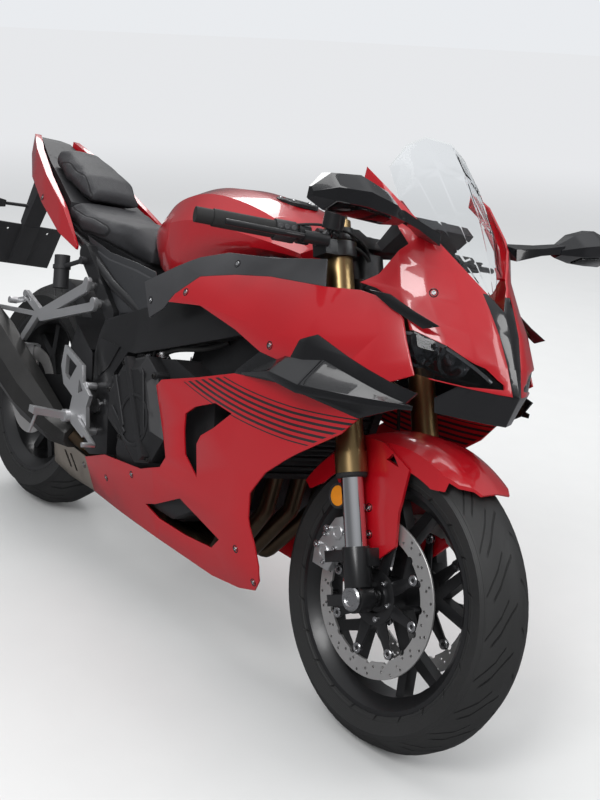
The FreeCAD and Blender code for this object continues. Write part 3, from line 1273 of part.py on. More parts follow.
def build():
    nodes = {}
    nodes.update(front_wheel_nodes())
    nodes.update(rear_wheel_nodes())
    nodes.update(fork_nodes())
    nodes.update(bar_nodes())
    nodes.update(front_caliper_nodes())
    nodes["front_fender"] = [front_fender()]
    nodes["reflectors"] = reflectors()
    nodes["frame"] = [frame()]
    nodes["subframe"] = [subframe()]
    nodes["swingarm"] = [swingarm()]
    nodes["rear_shock"] = [rear_shock()]
    nodes["preload_knob"] = [preload_knob()]
    nodes["pivot_bolt"] = [pivot_bolt()]
    nodes["rear_axle"] = [rear_axle()]
    nodes["rear_hugger"] = [rear_hugger()]
    nodes["rear_caliper"] = [rear_caliper()]
    nodes["chain"] = [chain()]
    nodes["engine"] = [engine()]
    nodes["engine_covers"] = engine_covers()
    nodes["radiator"] = [radiator()]
    nodes["exhaust_headers"] = [exhaust_headers()]
    nodes["muffler"] = [muffler()]
    nodes.update(side_nodes())
    nodes["winglets"] = winglets()
    nodes.update(nose_nodes())
    nodes["windscreen"] = [windscreen()]
    nodes["fuel_tank"] = [fuel_tank()]
    nodes["rider_seat"] = [rider_seat()]
    nodes["pillion_seat"] = [pad(PILLION_SEAT)]
    nodes["tail_cowl"] = [tail_cowl()]
    nodes["tail_wings"] = both(tail_wings())
    nodes["tail_lamp"] = [tail_lamp()]
    nodes["plate_holder"] = plate_holder()
    nodes["rearsets"] = rearsets()
    nodes["foot_levers"] = foot_levers()
    nodes["pillion_brackets"] = pillion_brackets()
    nodes["mirrors"] = mirrors()
    nodes["dashboard"] = dashboard()
    nodes["side_stand"] = side_stand()
    return nodes


def park(nodes):
    """Leans the bike onto its stand and moves the origin below the middle of its box."""
    bounds = FreeCAD.BoundBox()
    for shapes in nodes.values():
        for shape in shapes:
            shape.rotate(ORIGIN, AXIS_X, -LEAN)
            shape.translate(Vec(0, 0, parked_lift))
            bounds.add(shape.BoundBox)
    for shapes in nodes.values():
        for shape in shapes:
            shape.translate(Vec(-bounds.Center.x, -bounds.Center.y, 0))
    return bounds


if __name__ == "__main__":
    os.makedirs("parts", exist_ok=True)
    nodes = build()
    bounds = park(nodes)
    for name, shapes in nodes.items():
        count = 0
        for shape in shapes:
            count += len(shape.Solids)
            if not shape.isValid():
                print("invalid", name)
        whole = Part.makeCompound([solid for shape in shapes for solid in shape.Solids])
        whole.exportStep("parts/" + name + ".step")
        print(name, count, round(whole.Volume / 1000.0))
    print(bounds)
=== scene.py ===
"""Looks for a sport bike parked on its side stand.

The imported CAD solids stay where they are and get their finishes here. Smaller pieces that the
solids leave out are modelled beside them: padded seats, drilled discs, chain links, lamp insides,
hoses, screws and the display. Places are given on the upright bike in millimetres, with X forward
from the rear axle, Y to the rider's left and Z up, and are leaned into the row frame by Space.
"""

import json
import logging
import math
from dataclasses import dataclass
from enum import Enum, IntEnum
from typing import Callable

import bpy
from mathutils import Matrix, Vector

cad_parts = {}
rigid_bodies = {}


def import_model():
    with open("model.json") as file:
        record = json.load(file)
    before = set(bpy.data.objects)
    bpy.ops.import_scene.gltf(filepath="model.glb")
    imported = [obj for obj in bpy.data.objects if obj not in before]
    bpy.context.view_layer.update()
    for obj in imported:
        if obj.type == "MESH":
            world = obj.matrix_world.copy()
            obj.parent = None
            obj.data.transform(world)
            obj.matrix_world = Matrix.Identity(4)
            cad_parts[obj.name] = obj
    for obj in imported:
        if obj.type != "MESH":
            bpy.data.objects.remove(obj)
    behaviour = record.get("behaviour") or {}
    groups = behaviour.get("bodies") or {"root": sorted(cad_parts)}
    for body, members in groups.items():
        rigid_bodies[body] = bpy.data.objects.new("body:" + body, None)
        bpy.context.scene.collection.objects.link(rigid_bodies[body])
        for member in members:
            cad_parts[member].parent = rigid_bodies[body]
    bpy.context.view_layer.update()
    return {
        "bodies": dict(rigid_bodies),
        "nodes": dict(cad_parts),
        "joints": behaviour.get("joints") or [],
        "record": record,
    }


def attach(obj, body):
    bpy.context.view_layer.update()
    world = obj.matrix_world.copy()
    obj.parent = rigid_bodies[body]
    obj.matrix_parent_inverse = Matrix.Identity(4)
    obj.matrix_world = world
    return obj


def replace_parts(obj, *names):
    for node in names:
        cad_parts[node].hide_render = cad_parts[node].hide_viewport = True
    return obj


log = logging.getLogger("sport_bike")

Point = tuple[float, float, float]
Flat = tuple[float, float]
Color = tuple[float, float, float]
Place = tuple[Point, Vector]
Piece = bpy.types.Object
Socket = bpy.types.NodeSocket

MM = 0.001
LEAN = math.radians(12.0)
RAKE = math.radians(24.0)
REAR_AXLE_Z = 315.0
FRONT_AXLE = Vector((1425.0, 0.0, 299.26))
LEG_Y = 105.0
FORK_UP = Vector((-math.sin(RAKE), 0.0, math.cos(RAKE)))
UP = Vector((0.0, 0.0, 1.0))
CRISP_ANGLE = math.radians(32.0)
MERGE = 0.00001
LOOK_FROM = 450.0


class Side(IntEnum):
    """The two sides of the bike, by the sign of Y."""

    RIGHT = -1
    LEFT = 1

    @property
    def out(self) -> Vector:
        """The way out of this side."""
        return Vector((0.0, float(self), 0.0))


class Body(Enum):
    """The bodies that pieces made here ride on."""

    CHASSIS = "chassis"
    STEERING = "steering"
    FRONT_WHEEL = "front_wheel"
    REAR_WHEEL = "rear_wheel"


class Space:
    """Turns places on the upright bike, in millimetres, into the leaned row frame, in metres."""

    def __init__(self, rear_axle: Vector) -> None:
        """Sets the frame from the middle of the rear axle in the row frame, in metres."""
        self.turn = Matrix.Rotation(-LEAN, 4, "X")
        drop = Matrix.Translation((0.0, 0.0, -REAR_AXLE_Z * MM))
        self.matrix = Matrix.Translation(rear_axle) @ self.turn @ drop
        self.back = self.matrix.inverted()


def fork_point(x: float, y: float, s: float) -> Point:
    """Gives the upright place that is x before the fork legs, y to the left and s up from the axle."""
    return (FRONT_AXLE.x + x * math.cos(RAKE) - s * math.sin(RAKE), y,
            FRONT_AXLE.z + x * math.sin(RAKE) + s * math.cos(RAKE))


def circle(count: int, radius: float, start: float = 0.0) -> list[Flat]:
    """Gives the corners of an even ring round the origin."""
    angles = [start + 2 * math.pi * index / count for index in range(count)]
    return [(radius * math.cos(angle), radius * math.sin(angle)) for angle in angles]


class Value:
    """A figure in a shader tree, worked out with the ordinary signs."""

    def __init__(self, nodes: "Nodes", socket: Socket) -> None:
        """Keeps the tree's builder and the socket that the figure comes from."""
        self.nodes = nodes
        self.socket = socket

    def calc(self, operation: str, *others: object) -> "Value":
        """Works out a figure from this one and others with one operation of a Math node."""
        inputs = dict(enumerate((self, *others)))
        return Value(self.nodes, self.nodes.add("ShaderNodeMath", inputs, operation=operation).outputs[0])

    def __add__(self, other: object) -> "Value":
        """Adds a figure."""
        return self.calc("ADD", other)

    def __sub__(self, other: object) -> "Value":
        """Takes a figure away."""
        return self.calc("SUBTRACT", other)

    def __mul__(self, other: object) -> "Value":
        """Multiplies by a figure."""
        return self.calc("MULTIPLY", other)

    def __truediv__(self, other: object) -> "Value":
        """Divides by a figure."""
        return self.calc("DIVIDE", other)

    def __abs__(self) -> "Value":
        """Drops the sign."""
        return self.calc("ABSOLUTE")

    def most(self, other: object) -> "Value":
        """Gives the larger of two figures."""
        return self.calc("MAXIMUM", other)

    def fold(self) -> "Value":
        """Sends the figure back and forth between 0 and 0.5."""
        return self.calc("PINGPONG", 0.5)

    def ramp(self, low: float, high: float, start: float = 0.0, end: float = 1.0) -> "Value":
        """Maps a range smoothly on another and clamps it.

        Args:
            low: where the change starts.
            high: where it ends.
            start: the result at low.
            end: the result at high.

        Returns:
            The mapped figure.
        """
        inputs = dict(enumerate((self, low, high, start, end)))
        node = self.nodes.add("ShaderNodeMapRange", inputs, interpolation_type="SMOOTHSTEP")
        return Value(self.nodes, node.outputs[0])


class Nodes:
    """Adds and joins the nodes of one shader tree."""

    def __init__(self, tree: bpy.types.NodeTree) -> None:
        """Keeps the tree that the nodes go into."""
        self.tree = tree

    def add(self, kind: str, inputs: dict | None = None, **settings: object) -> bpy.types.Node:
        """Adds a node, sets its properties and feeds its inputs.

        Args:
            kind: the node's type.
            inputs: what goes into the inputs, by name or number.
            settings: property names and their values.

        Returns:
            The node.
        """
        node = self.tree.nodes.new(kind)
        for name, value in settings.items():
            setattr(node, name, value)
        for key, value in (inputs or {}).items():
            self.join(value, node.inputs[key])
        return node

    def join(self, source: object, target: Socket) -> None:
        """Links a figure or a socket to an input, or sets a plain value."""
        source = source.socket if isinstance(source, Value) else source
        if isinstance(source, Socket):
            self.tree.links.new(source, target)
        else:
            target.default_value = source

    def blend(self, factor: object, low: object, high: object) -> Value:
        """Mixes two colours, where a factor of 0 gives low and one of 1 gives high."""
        low, high = ((*item, 1.0) if isinstance(item, tuple) else item for item in (low, high))
        return Value(self, self.add("ShaderNodeMix", {0: factor, 6: low, 7: high},
                                    data_type="RGBA").outputs[2])

    def noise(self, vector: Socket, scale: object, detail: float) -> Value:
        """Adds a noise pattern."""
        inputs = {"Vector": vector, "Scale": scale, "Detail": detail}
        return Value(self, self.add("ShaderNodeTexNoise", inputs).outputs[0])

    def place(self, kind: str = "Object") -> Socket:
        """Gives the coordinates of one kind."""
        return self.add("ShaderNodeTexCoord").outputs[kind]

    def ray(self, kind: str) -> Value:
        """Tells by 1 or 0 whether the ray is of one kind."""
        return Value(self, self.add("ShaderNodeLightPath").outputs[f"Is {kind} Ray"])

    def split(self, vector: Socket) -> list[Value]:
        """Gives X, Y and Z of a vector."""
        return [Value(self, part) for part in self.add("ShaderNodeSeparateXYZ", {0: vector}).outputs]

    def upright(self, shift: Vector) -> list[Value]:
        """Gives X, Y and Z on the upright bike, in metres."""
        inputs = {"Rotation": (LEAN, 0.0, 0.0), "Location": shift, "Vector": self.place()}
        return self.split(self.add("ShaderNodeMapping", inputs, vector_type="POINT").outputs[0])


def surface_group() -> bpy.types.NodeTree:
    """Builds the group that gives a surface its cloudy shade, its fine grain and its scuffs."""
    group = bpy.data.node_groups.new("bike_surface", "ShaderNodeTree")
    for label, way, kind in (("Vector", "INPUT", "Vector"), ("Grain Scale", "INPUT", "Float"),
                             ("Cloud", "OUTPUT", "Float"), ("Grain", "OUTPUT", "Float"),
                             ("Scuff", "OUTPUT", "Float")):
        group.interface.new_socket(label, in_out=way, socket_type="NodeSocket" + kind)
    nodes = Nodes(group)
    start = nodes.add("NodeGroupInput")
    vector = start.outputs["Vector"]
    cloud = nodes.noise(vector, 9.0, 4.0)
    grain = nodes.noise(vector, start.outputs["Grain Scale"], 2.0)
    scuff = nodes.noise(vector, 38.0, 8.0).ramp(0.6, 0.72)
    nodes.add("NodeGroupOutput", {"Cloud": cloud, "Grain": grain, "Scuff": scuff})
    return group


@dataclass
class Layer:
    """A material in the making: its nodes and its colour, roughness and relief so far."""

    nodes: Nodes
    shift: Vector
    base: Value
    rough: Value
    height: Value


@dataclass(frozen=True)
class Finish:
    """One surface finish, made into a material by build."""

    name: str
    color: Color
    metallic: float = 0.0
    roughness: float = 0.4
    coat: float = 0.0
    coat_roughness: float = 0.03
    grain_scale: float = 500.0
    relief: float = 0.0
    mottle: float = 0.12
    scuffs: float = 0.08
    specular: float = 0.5

    def build(self, group: bpy.types.NodeTree, shift: Vector) -> bpy.types.Material:
        """Makes the material.

        Args:
            group: the shared surface group.
            shift: the move that follows the turn back to the upright bike.

        Returns:
            The material.
        """
        material = bpy.data.materials.new(self.name)
        material.use_nodes = True
        material.node_tree.nodes.clear()
        nodes = Nodes(material.node_tree)
        inputs = {"Grain Scale": self.grain_scale, "Vector": nodes.place()}
        surface = nodes.add("ShaderNodeGroup", inputs, node_tree=group)
        cloud, grain, scuff = (Value(nodes, surface.outputs[name]) for name in ("Cloud", "Grain", "Scuff"))
        dark = tuple(c * (1.0 - self.mottle) for c in self.color)
        light = tuple(min(1.0, c * (1.0 + self.mottle)) for c in self.color)
        layer = Layer(nodes, shift, nodes.blend(cloud, dark, light), scuff * self.scuffs + self.roughness,
                      grain)
        self.detail(layer)
        distance = max(self.relief, 0.002) * MM
        bump = nodes.add("ShaderNodeBump", {"Strength": 1.0, "Distance": distance, "Height": layer.height})
        shader = nodes.add("ShaderNodeBsdfPrincipled", {
            "Metallic": self.metallic, "Coat Weight": self.coat, "Coat Roughness": self.coat_roughness,
            "Specular IOR Level": self.specular, "Base Color": layer.base, "Roughness": layer.rough,
            "Normal": bump.outputs[0], **self.optics()})
        nodes.add("ShaderNodeOutputMaterial", {"Surface": self.finished(nodes, shader.outputs[0])})
        return material

    def detail(self, layer: Layer) -> None:
        """Adds what one kind of finish has over the others; the plain one has nothing more."""

    def optics(self) -> dict[str, object]:
        """Gives the shader inputs for light inside the surface; a plain finish has none."""
        return {}

    def finished(self, nodes: Nodes, shader: Socket) -> Socket:
        """Gives what the material's output takes: the shader's own."""
        return shader


@dataclass(frozen=True)
class StripedPaint(Finish):
    """Panel paint with parallel dark stripes under the panel's upper edge, in metres."""

    stripe: Color = (0.012, 0.012, 0.014)
    count: float = 5.5
    pitch: float = 0.0112
    width: float = 0.46
    blur: float = 0.02
    low_z: float = 0.551
    sag: float = 0.36
    sag_x: float = 1.130
    edge_x: float = 0.899
    edge_z: float = 0.574
    edge_rise: float = 0.345
    front_x: float = 1.316
    front_z: float = 0.569
    front_run: float = 1.40

    def detail(self, layer: Layer) -> None:
        """Draws the stripes along a curve that follows the edge."""
        x, _, z = layer.nodes.upright(layer.shift)
        run = x - self.sag_x
        count = (z - (run * run * self.sag + self.low_z)) / self.pitch
        half = self.width / 2
        line = (count + 0.5).fold().ramp(half - self.blur, half + self.blur, 1.0, 0.0)
        inside = count.ramp(-0.5, -0.49) * count.ramp(self.count, self.count + 0.01, 1.0, 0.0)
        edge = (x - self.edge_x) * self.edge_rise + self.edge_z
        front = (z - self.front_z) * self.front_run + self.front_x
        ends = (edge - z).ramp(0.0, 0.001) * (front - x).ramp(0.0, 0.001)
        layer.base = layer.nodes.blend(line * inside * ends, layer.base, self.stripe)


@dataclass(frozen=True)
class TyreRubber(Finish):
    """Tyre rubber with curved tread grooves that carry a painted shade, and fine rings on the side walls,
    in metres.
    """

    axle: Flat = (0.0, 0.315)
    radius: float = 0.3
    half_width: float = 0.06
    grooves: int = 22
    bend: float = 1.5
    bend_power: float = 1.6
    stagger: float = 0.25
    rings: float = 320.0
    lip_radius: float = 0.232
    lips: float = 28.0
    # painted shade colour for the inside of the grooves
    groove_shade_color: Color = (0.004, 0.004, 0.004)

    def detail(self, layer: Layer) -> None:
        """Cuts the grooves by angle and by distance from the middle, and rings by radius, and darkens the
        grooves with painted shade.
        """
        x, y, z = layer.nodes.upright(layer.shift)
        across, up = x - self.axle[0], z - self.axle[1]
        out = (across * across + up * up).calc("SQRT")
        angle = up.calc("ARCTAN2", across) / (2 * math.pi)
        share = abs(y) / self.half_width
        bend = share.calc("POWER", self.bend_power) * self.bend
        turn = angle * self.grooves + bend + y.calc("SIGN") * self.stagger
        first = turn.fold().ramp(0.028, 0.05, 1.0, 0.0)
        first = first * share.ramp(0.1, 0.12) * share.ramp(0.72, 0.78, 1.0, 0.0)
        second = (turn + 0.62).fold().ramp(0.02, 0.04, 1.0, 0.0)
        second = second * share.ramp(0.38, 0.4) * share.ramp(0.86, 0.9, 1.0, 0.0)
        cut = first.most(second)
        wall = out.ramp(self.radius - 0.034, self.radius - 0.03, 1.0, 0.0)
        rings = (out * self.rings).fold() * wall * 0.25
        rim_line = ((out - self.lip_radius) * self.lips).fold().ramp(0.04, 0.08, 1.0, 0.0) * wall * 0.5
        layer.height = layer.height * 0.12 + rings + rim_line - cut * 1.6
        # painted shade: the tread grooves are coloured near black as if shaded inside
        layer.base = layer.nodes.blend(cut, layer.base, self.groove_shade_color)
        layer.rough = layer.rough - wall * 0.12


@dataclass(frozen=True)
class FinnedCore(Finish):
    """A radiator core: close upright fins between flat tubes, with painted shade in the gaps, pitches in
    metres.
    """

    fin_pitch: float = 0.0032
    tube_pitch: float = 0.0113
    # painted shade colour for the gaps between fins and tubes
    gap_shade_color: Color = (0.01, 0.01, 0.011)

    def detail(self, layer: Layer) -> None:
        """Draws fins and tubes as relief, and darkens the gaps between them with painted shade."""
        _, y, z = layer.nodes.upright(layer.shift)
        tube = (z / self.tube_pitch).fold().ramp(0.1, 0.16, 1.0, 0.0)
        layer.height = ((y / self.fin_pitch).fold() * 1.2).most(tube)
        # painted shade: the lower the relief, the closer the colour goes to the gaps' painted shade
        layer.base = layer.nodes.blend(layer.height.ramp(0.0, 0.8, 0.35, 1.0), self.gap_shade_color, layer.base)


@dataclass(frozen=True)
class Seat(Finish):
    """Seat cover with leather grain and a sewn line on either side, darkened with painted shade in its
    crease, in metres.
    """

    seam_y: float = 0.1
    pore_scale: float = 420.0

    def detail(self, layer: Layer) -> None:
        """Adds pores, and sewn lines that dip and get a painted shade."""
        nodes = layer.nodes
        pores = {"Vector": nodes.place(), "Scale": self.pore_scale}
        cells = Value(nodes, nodes.add("ShaderNodeTexVoronoi", pores,
                                       feature="DISTANCE_TO_EDGE").outputs[0])
        _, y, _ = nodes.upright(layer.shift)
        seam = abs(abs(y) - self.seam_y).ramp(0.0006, 0.0022, 1.0, 0.0)
        layer.height = layer.height * 0.35 + cells.ramp(0.0, 0.16) - seam * 6.0
        # painted shade: the sewn line's crease is coloured darker as if shaded
        layer.base = nodes.blend(seam, layer.base, tuple(c * 0.35 for c in self.color))


@dataclass(frozen=True)
class Glass(Finish):
    """Clear or smoked glass and plastic that light passes through."""

    transmission: float = 1.0
    ior: float = 1.45

    def optics(self) -> dict[str, object]:
        """Lets light through the surface."""
        return {"Transmission Weight": self.transmission, "IOR": self.ior}


@dataclass(frozen=True)
class Lamp(Finish):
    """A lit strip."""

    strength: float = 1.5

    def optics(self) -> dict[str, object]:
        """Makes the surface glow in its own colour."""
        return {"Emission Color": (*self.color, 1.0), "Emission Strength": self.strength}


@dataclass(frozen=True)
class Floor(Finish):
    """The stage's floor, pale to the eye and darker in what it gives to reflections."""

    mirrored: Color = (0.16, 0.16, 0.165)
    backdrop: Color = (0.80, 0.81, 0.83)
    near: float = 3.5
    far: float = 11.0

    def detail(self, layer: Layer) -> None:
        """Swaps the colour for rays that a gloss sends back, but not for those through glass."""
        bounced = layer.nodes.ray("Glossy") - layer.nodes.ray("Transmission")
        layer.base = layer.nodes.blend(bounced.most(0.0), layer.base, self.mirrored)

    def finished(self, nodes: Nodes, shader: Socket) -> Socket:
        """Fades the floor into the backdrop's tone with distance, as seen directly or through glass."""
        length = nodes.add("ShaderNodeVectorMath", {0: nodes.place()}, operation="LENGTH")
        seen = nodes.ray("Camera").most(nodes.ray("Transmission"))
        share = Value(nodes, length.outputs["Value"]).ramp(self.near, self.far) * seen
        glow = nodes.add("ShaderNodeEmission", {"Color": (*self.backdrop, 1.0)})
        return nodes.add("ShaderNodeMixShader", {0: share, 1: shader, 2: glow.outputs[0]}).outputs[0]


RED: Color = (0.40, 0.002, 0.008)
SEAT_BLACK: Color = (0.030, 0.030, 0.033)
TYRE_BLACK: Color = (0.020, 0.020, 0.020)
PAINT = {"roughness": 0.30, "coat": 0.9, "mottle": 0.05, "scuffs": 0.03, "grain_scale": 180,
         "relief": 0.004}
COVER = {"roughness": 0.56, "relief": 0.16, "mottle": 0.18}
TYRE = {"roughness": 0.62, "relief": 1.1, "mottle": 0.25, "grain_scale": 1500}

FINISHES: tuple[Finish, ...] = (
    Finish("red_paint", RED, **PAINT),
    StripedPaint("red_striped", RED, **PAINT),
    Finish("black_gloss", (0.006, 0.006, 0.007), roughness=0.16, coat=0.7, mottle=0.1, scuffs=0.04,
           grain_scale=180, relief=0.004),
    Finish("black_plastic", (0.022, 0.022, 0.024), roughness=0.55, grain_scale=900, relief=0.05,
           mottle=0.2),
    Finish("grey_plastic", (0.045, 0.045, 0.048), roughness=0.5, grain_scale=1100, relief=0.04,
           mottle=0.15),
    Finish("black_metal", (0.013, 0.013, 0.014), metallic=0.2, roughness=0.34, coat=0.3, coat_roughness=0.2,
           grain_scale=600, relief=0.03),
    Finish("engine_black", (0.035, 0.035, 0.037), metallic=0.55, roughness=0.46, grain_scale=420,
           relief=0.12, mottle=0.25, scuffs=0.14),
    Finish("cast_silver", (0.62, 0.62, 0.63), metallic=0.85, roughness=0.40, grain_scale=520, relief=0.08,
           scuffs=0.12),
    Finish("gold_tube", (0.36, 0.25, 0.12), metallic=1.0, roughness=0.34, grain_scale=700, relief=0.01,
           mottle=0.08),
    Finish("chrome", (0.86, 0.86, 0.88), metallic=1.0, roughness=0.08, mottle=0.04, scuffs=0.05),
    Finish("bright_steel", (0.56, 0.56, 0.57), metallic=1.0, roughness=0.27, grain_scale=900, relief=0.012,
           mottle=0.1),
    Finish("disc_steel", (0.62, 0.61, 0.60), metallic=0.85, roughness=0.42, grain_scale=900, relief=0.02,
           mottle=0.15),
    Finish("dark_steel", (0.05, 0.049, 0.048), metallic=0.7, roughness=0.40, grain_scale=350, relief=0.05,
           mottle=0.3, scuffs=0.12),
    Finish("header_steel", (0.16, 0.115, 0.075), metallic=1.0, roughness=0.40, grain_scale=200, relief=0.02,
           mottle=0.45, scuffs=0.15),
    Finish("champagne", (0.60, 0.53, 0.45), metallic=0.95, roughness=0.36, grain_scale=800, relief=0.02,
           mottle=0.1),
    Finish("rubber", (0.016, 0.016, 0.016), roughness=0.72, grain_scale=1200, relief=0.08, mottle=0.3),
    Seat("seat_front", SEAT_BLACK, **COVER, seam_y=0.118),
    Seat("seat_rear", SEAT_BLACK, **COVER, seam_y=0.072),
    TyreRubber("front_rubber", TYRE_BLACK, **TYRE, axle=(1.425, 0.29926), radius=0.300, half_width=0.060),
    TyreRubber("rear_rubber", TYRE_BLACK, **TYRE, axle=(0.0, 0.315), radius=0.315, half_width=0.091,
               grooves=18),
    FinnedCore("radiator_core", (0.05, 0.05, 0.052), metallic=0.6, roughness=0.45, relief=1.6),
    Glass("clear_screen", (0.93, 0.95, 0.96), roughness=0.02, mottle=0.01, scuffs=0.01, ior=1.2),
    Glass("smoked_lens", (0.16, 0.165, 0.17), roughness=0.03, mottle=0.02, scuffs=0.01, ior=1.3),
    Glass("red_lens", (0.55, 0.01, 0.01), roughness=0.08, mottle=0.05, transmission=0.7),
    Glass("amber_lens", (0.95, 0.33, 0.02), roughness=0.12, mottle=0.05, transmission=0.35, grain_scale=300,
          relief=0.3),
    Finish("mirror_glass", (0.8, 0.82, 0.84), metallic=1.0, roughness=0.02, mottle=0.01, scuffs=0.0),
    Finish("screen_black", (0.006, 0.007, 0.009), roughness=0.08, coat=1.0, mottle=0.05, scuffs=0.02),
    Lamp("pale_strip", (0.80, 0.82, 0.85), roughness=0.3, mottle=0.02, strength=0.25),
    Finish("lamp_bowl", (0.55, 0.56, 0.58), metallic=1.0, roughness=0.16, mottle=0.05),
    Floor("floor_grey", (0.70, 0.70, 0.69), roughness=0.9, mottle=0.02, grain_scale=120, relief=0.1,
          specular=0.1),
    Finish("cover_grey", (0.030, 0.031, 0.034), roughness=0.48, grain_scale=1100, relief=0.04, mottle=0.15),
)

NODES_BY_FINISH: dict[str, str] = {
    "black_metal": "front_rim rear_rim fork_feet triple_clamps handlebars hand_levers frame subframe "
                   "swingarm side_stand",
    "disc_steel": "front_discs rear_disc",
    "front_rubber": "front_tyre",
    "rear_rubber": "rear_tyre",
    "dark_steel": "rear_sprocket chain muffler",
    "gold_tube": "fork_tubes",
    "chrome": "fork_stanchions",
    "bright_steel": "front_axle rear_axle rear_shock pivot_bolt",
    "rubber": "grips",
    "black_plastic": "switchgear preload_knob rear_hugger tail_cowl plate_holder dashboard",
    "cast_silver": "front_calipers rear_caliper rearsets foot_levers pillion_brackets",
    "red_paint": "front_fender side_panels nose_cowl fuel_tank tail_wings",
    "red_striped": "lower_panels",
    "amber_lens": "reflectors",
    "engine_black": "engine engine_covers",
    "radiator_core": "radiator",
    "header_steel": "exhaust_headers",
    "champagne": "exhaust_guard",
    "grey_plastic": "frame_covers",
    "black_gloss": "winglets nose_trim mirrors",
    "smoked_lens": "headlights",
    "clear_screen": "windscreen",
    "seat_front": "rider_seat",
    "seat_rear": "pillion_seat",
    "red_lens": "tail_lamp",
}
NODE_FINISH = {node: finish for finish, names in NODES_BY_FINISH.items() for node in names.split()}

BEVELLED = """frame engine engine_covers front_calipers rear_caliper rearsets triple_clamps
swingarm pillion_brackets dashboard switchgear side_stand foot_levers front_rim rear_rim muffler
side_panels lower_panels nose_cowl winglets nose_trim frame_covers tail_wings tail_cowl
exhaust_guard rear_hugger plate_holder fork_feet""".split()


def modifier(piece: Piece, kind: str, **settings: object) -> bpy.types.Modifier:
    """Adds a modifier of a kind to a piece and sets its values."""
    added = piece.modifiers.new(kind.lower(), kind)
    for name, value in settings.items():
        setattr(added, name, value)
    return added


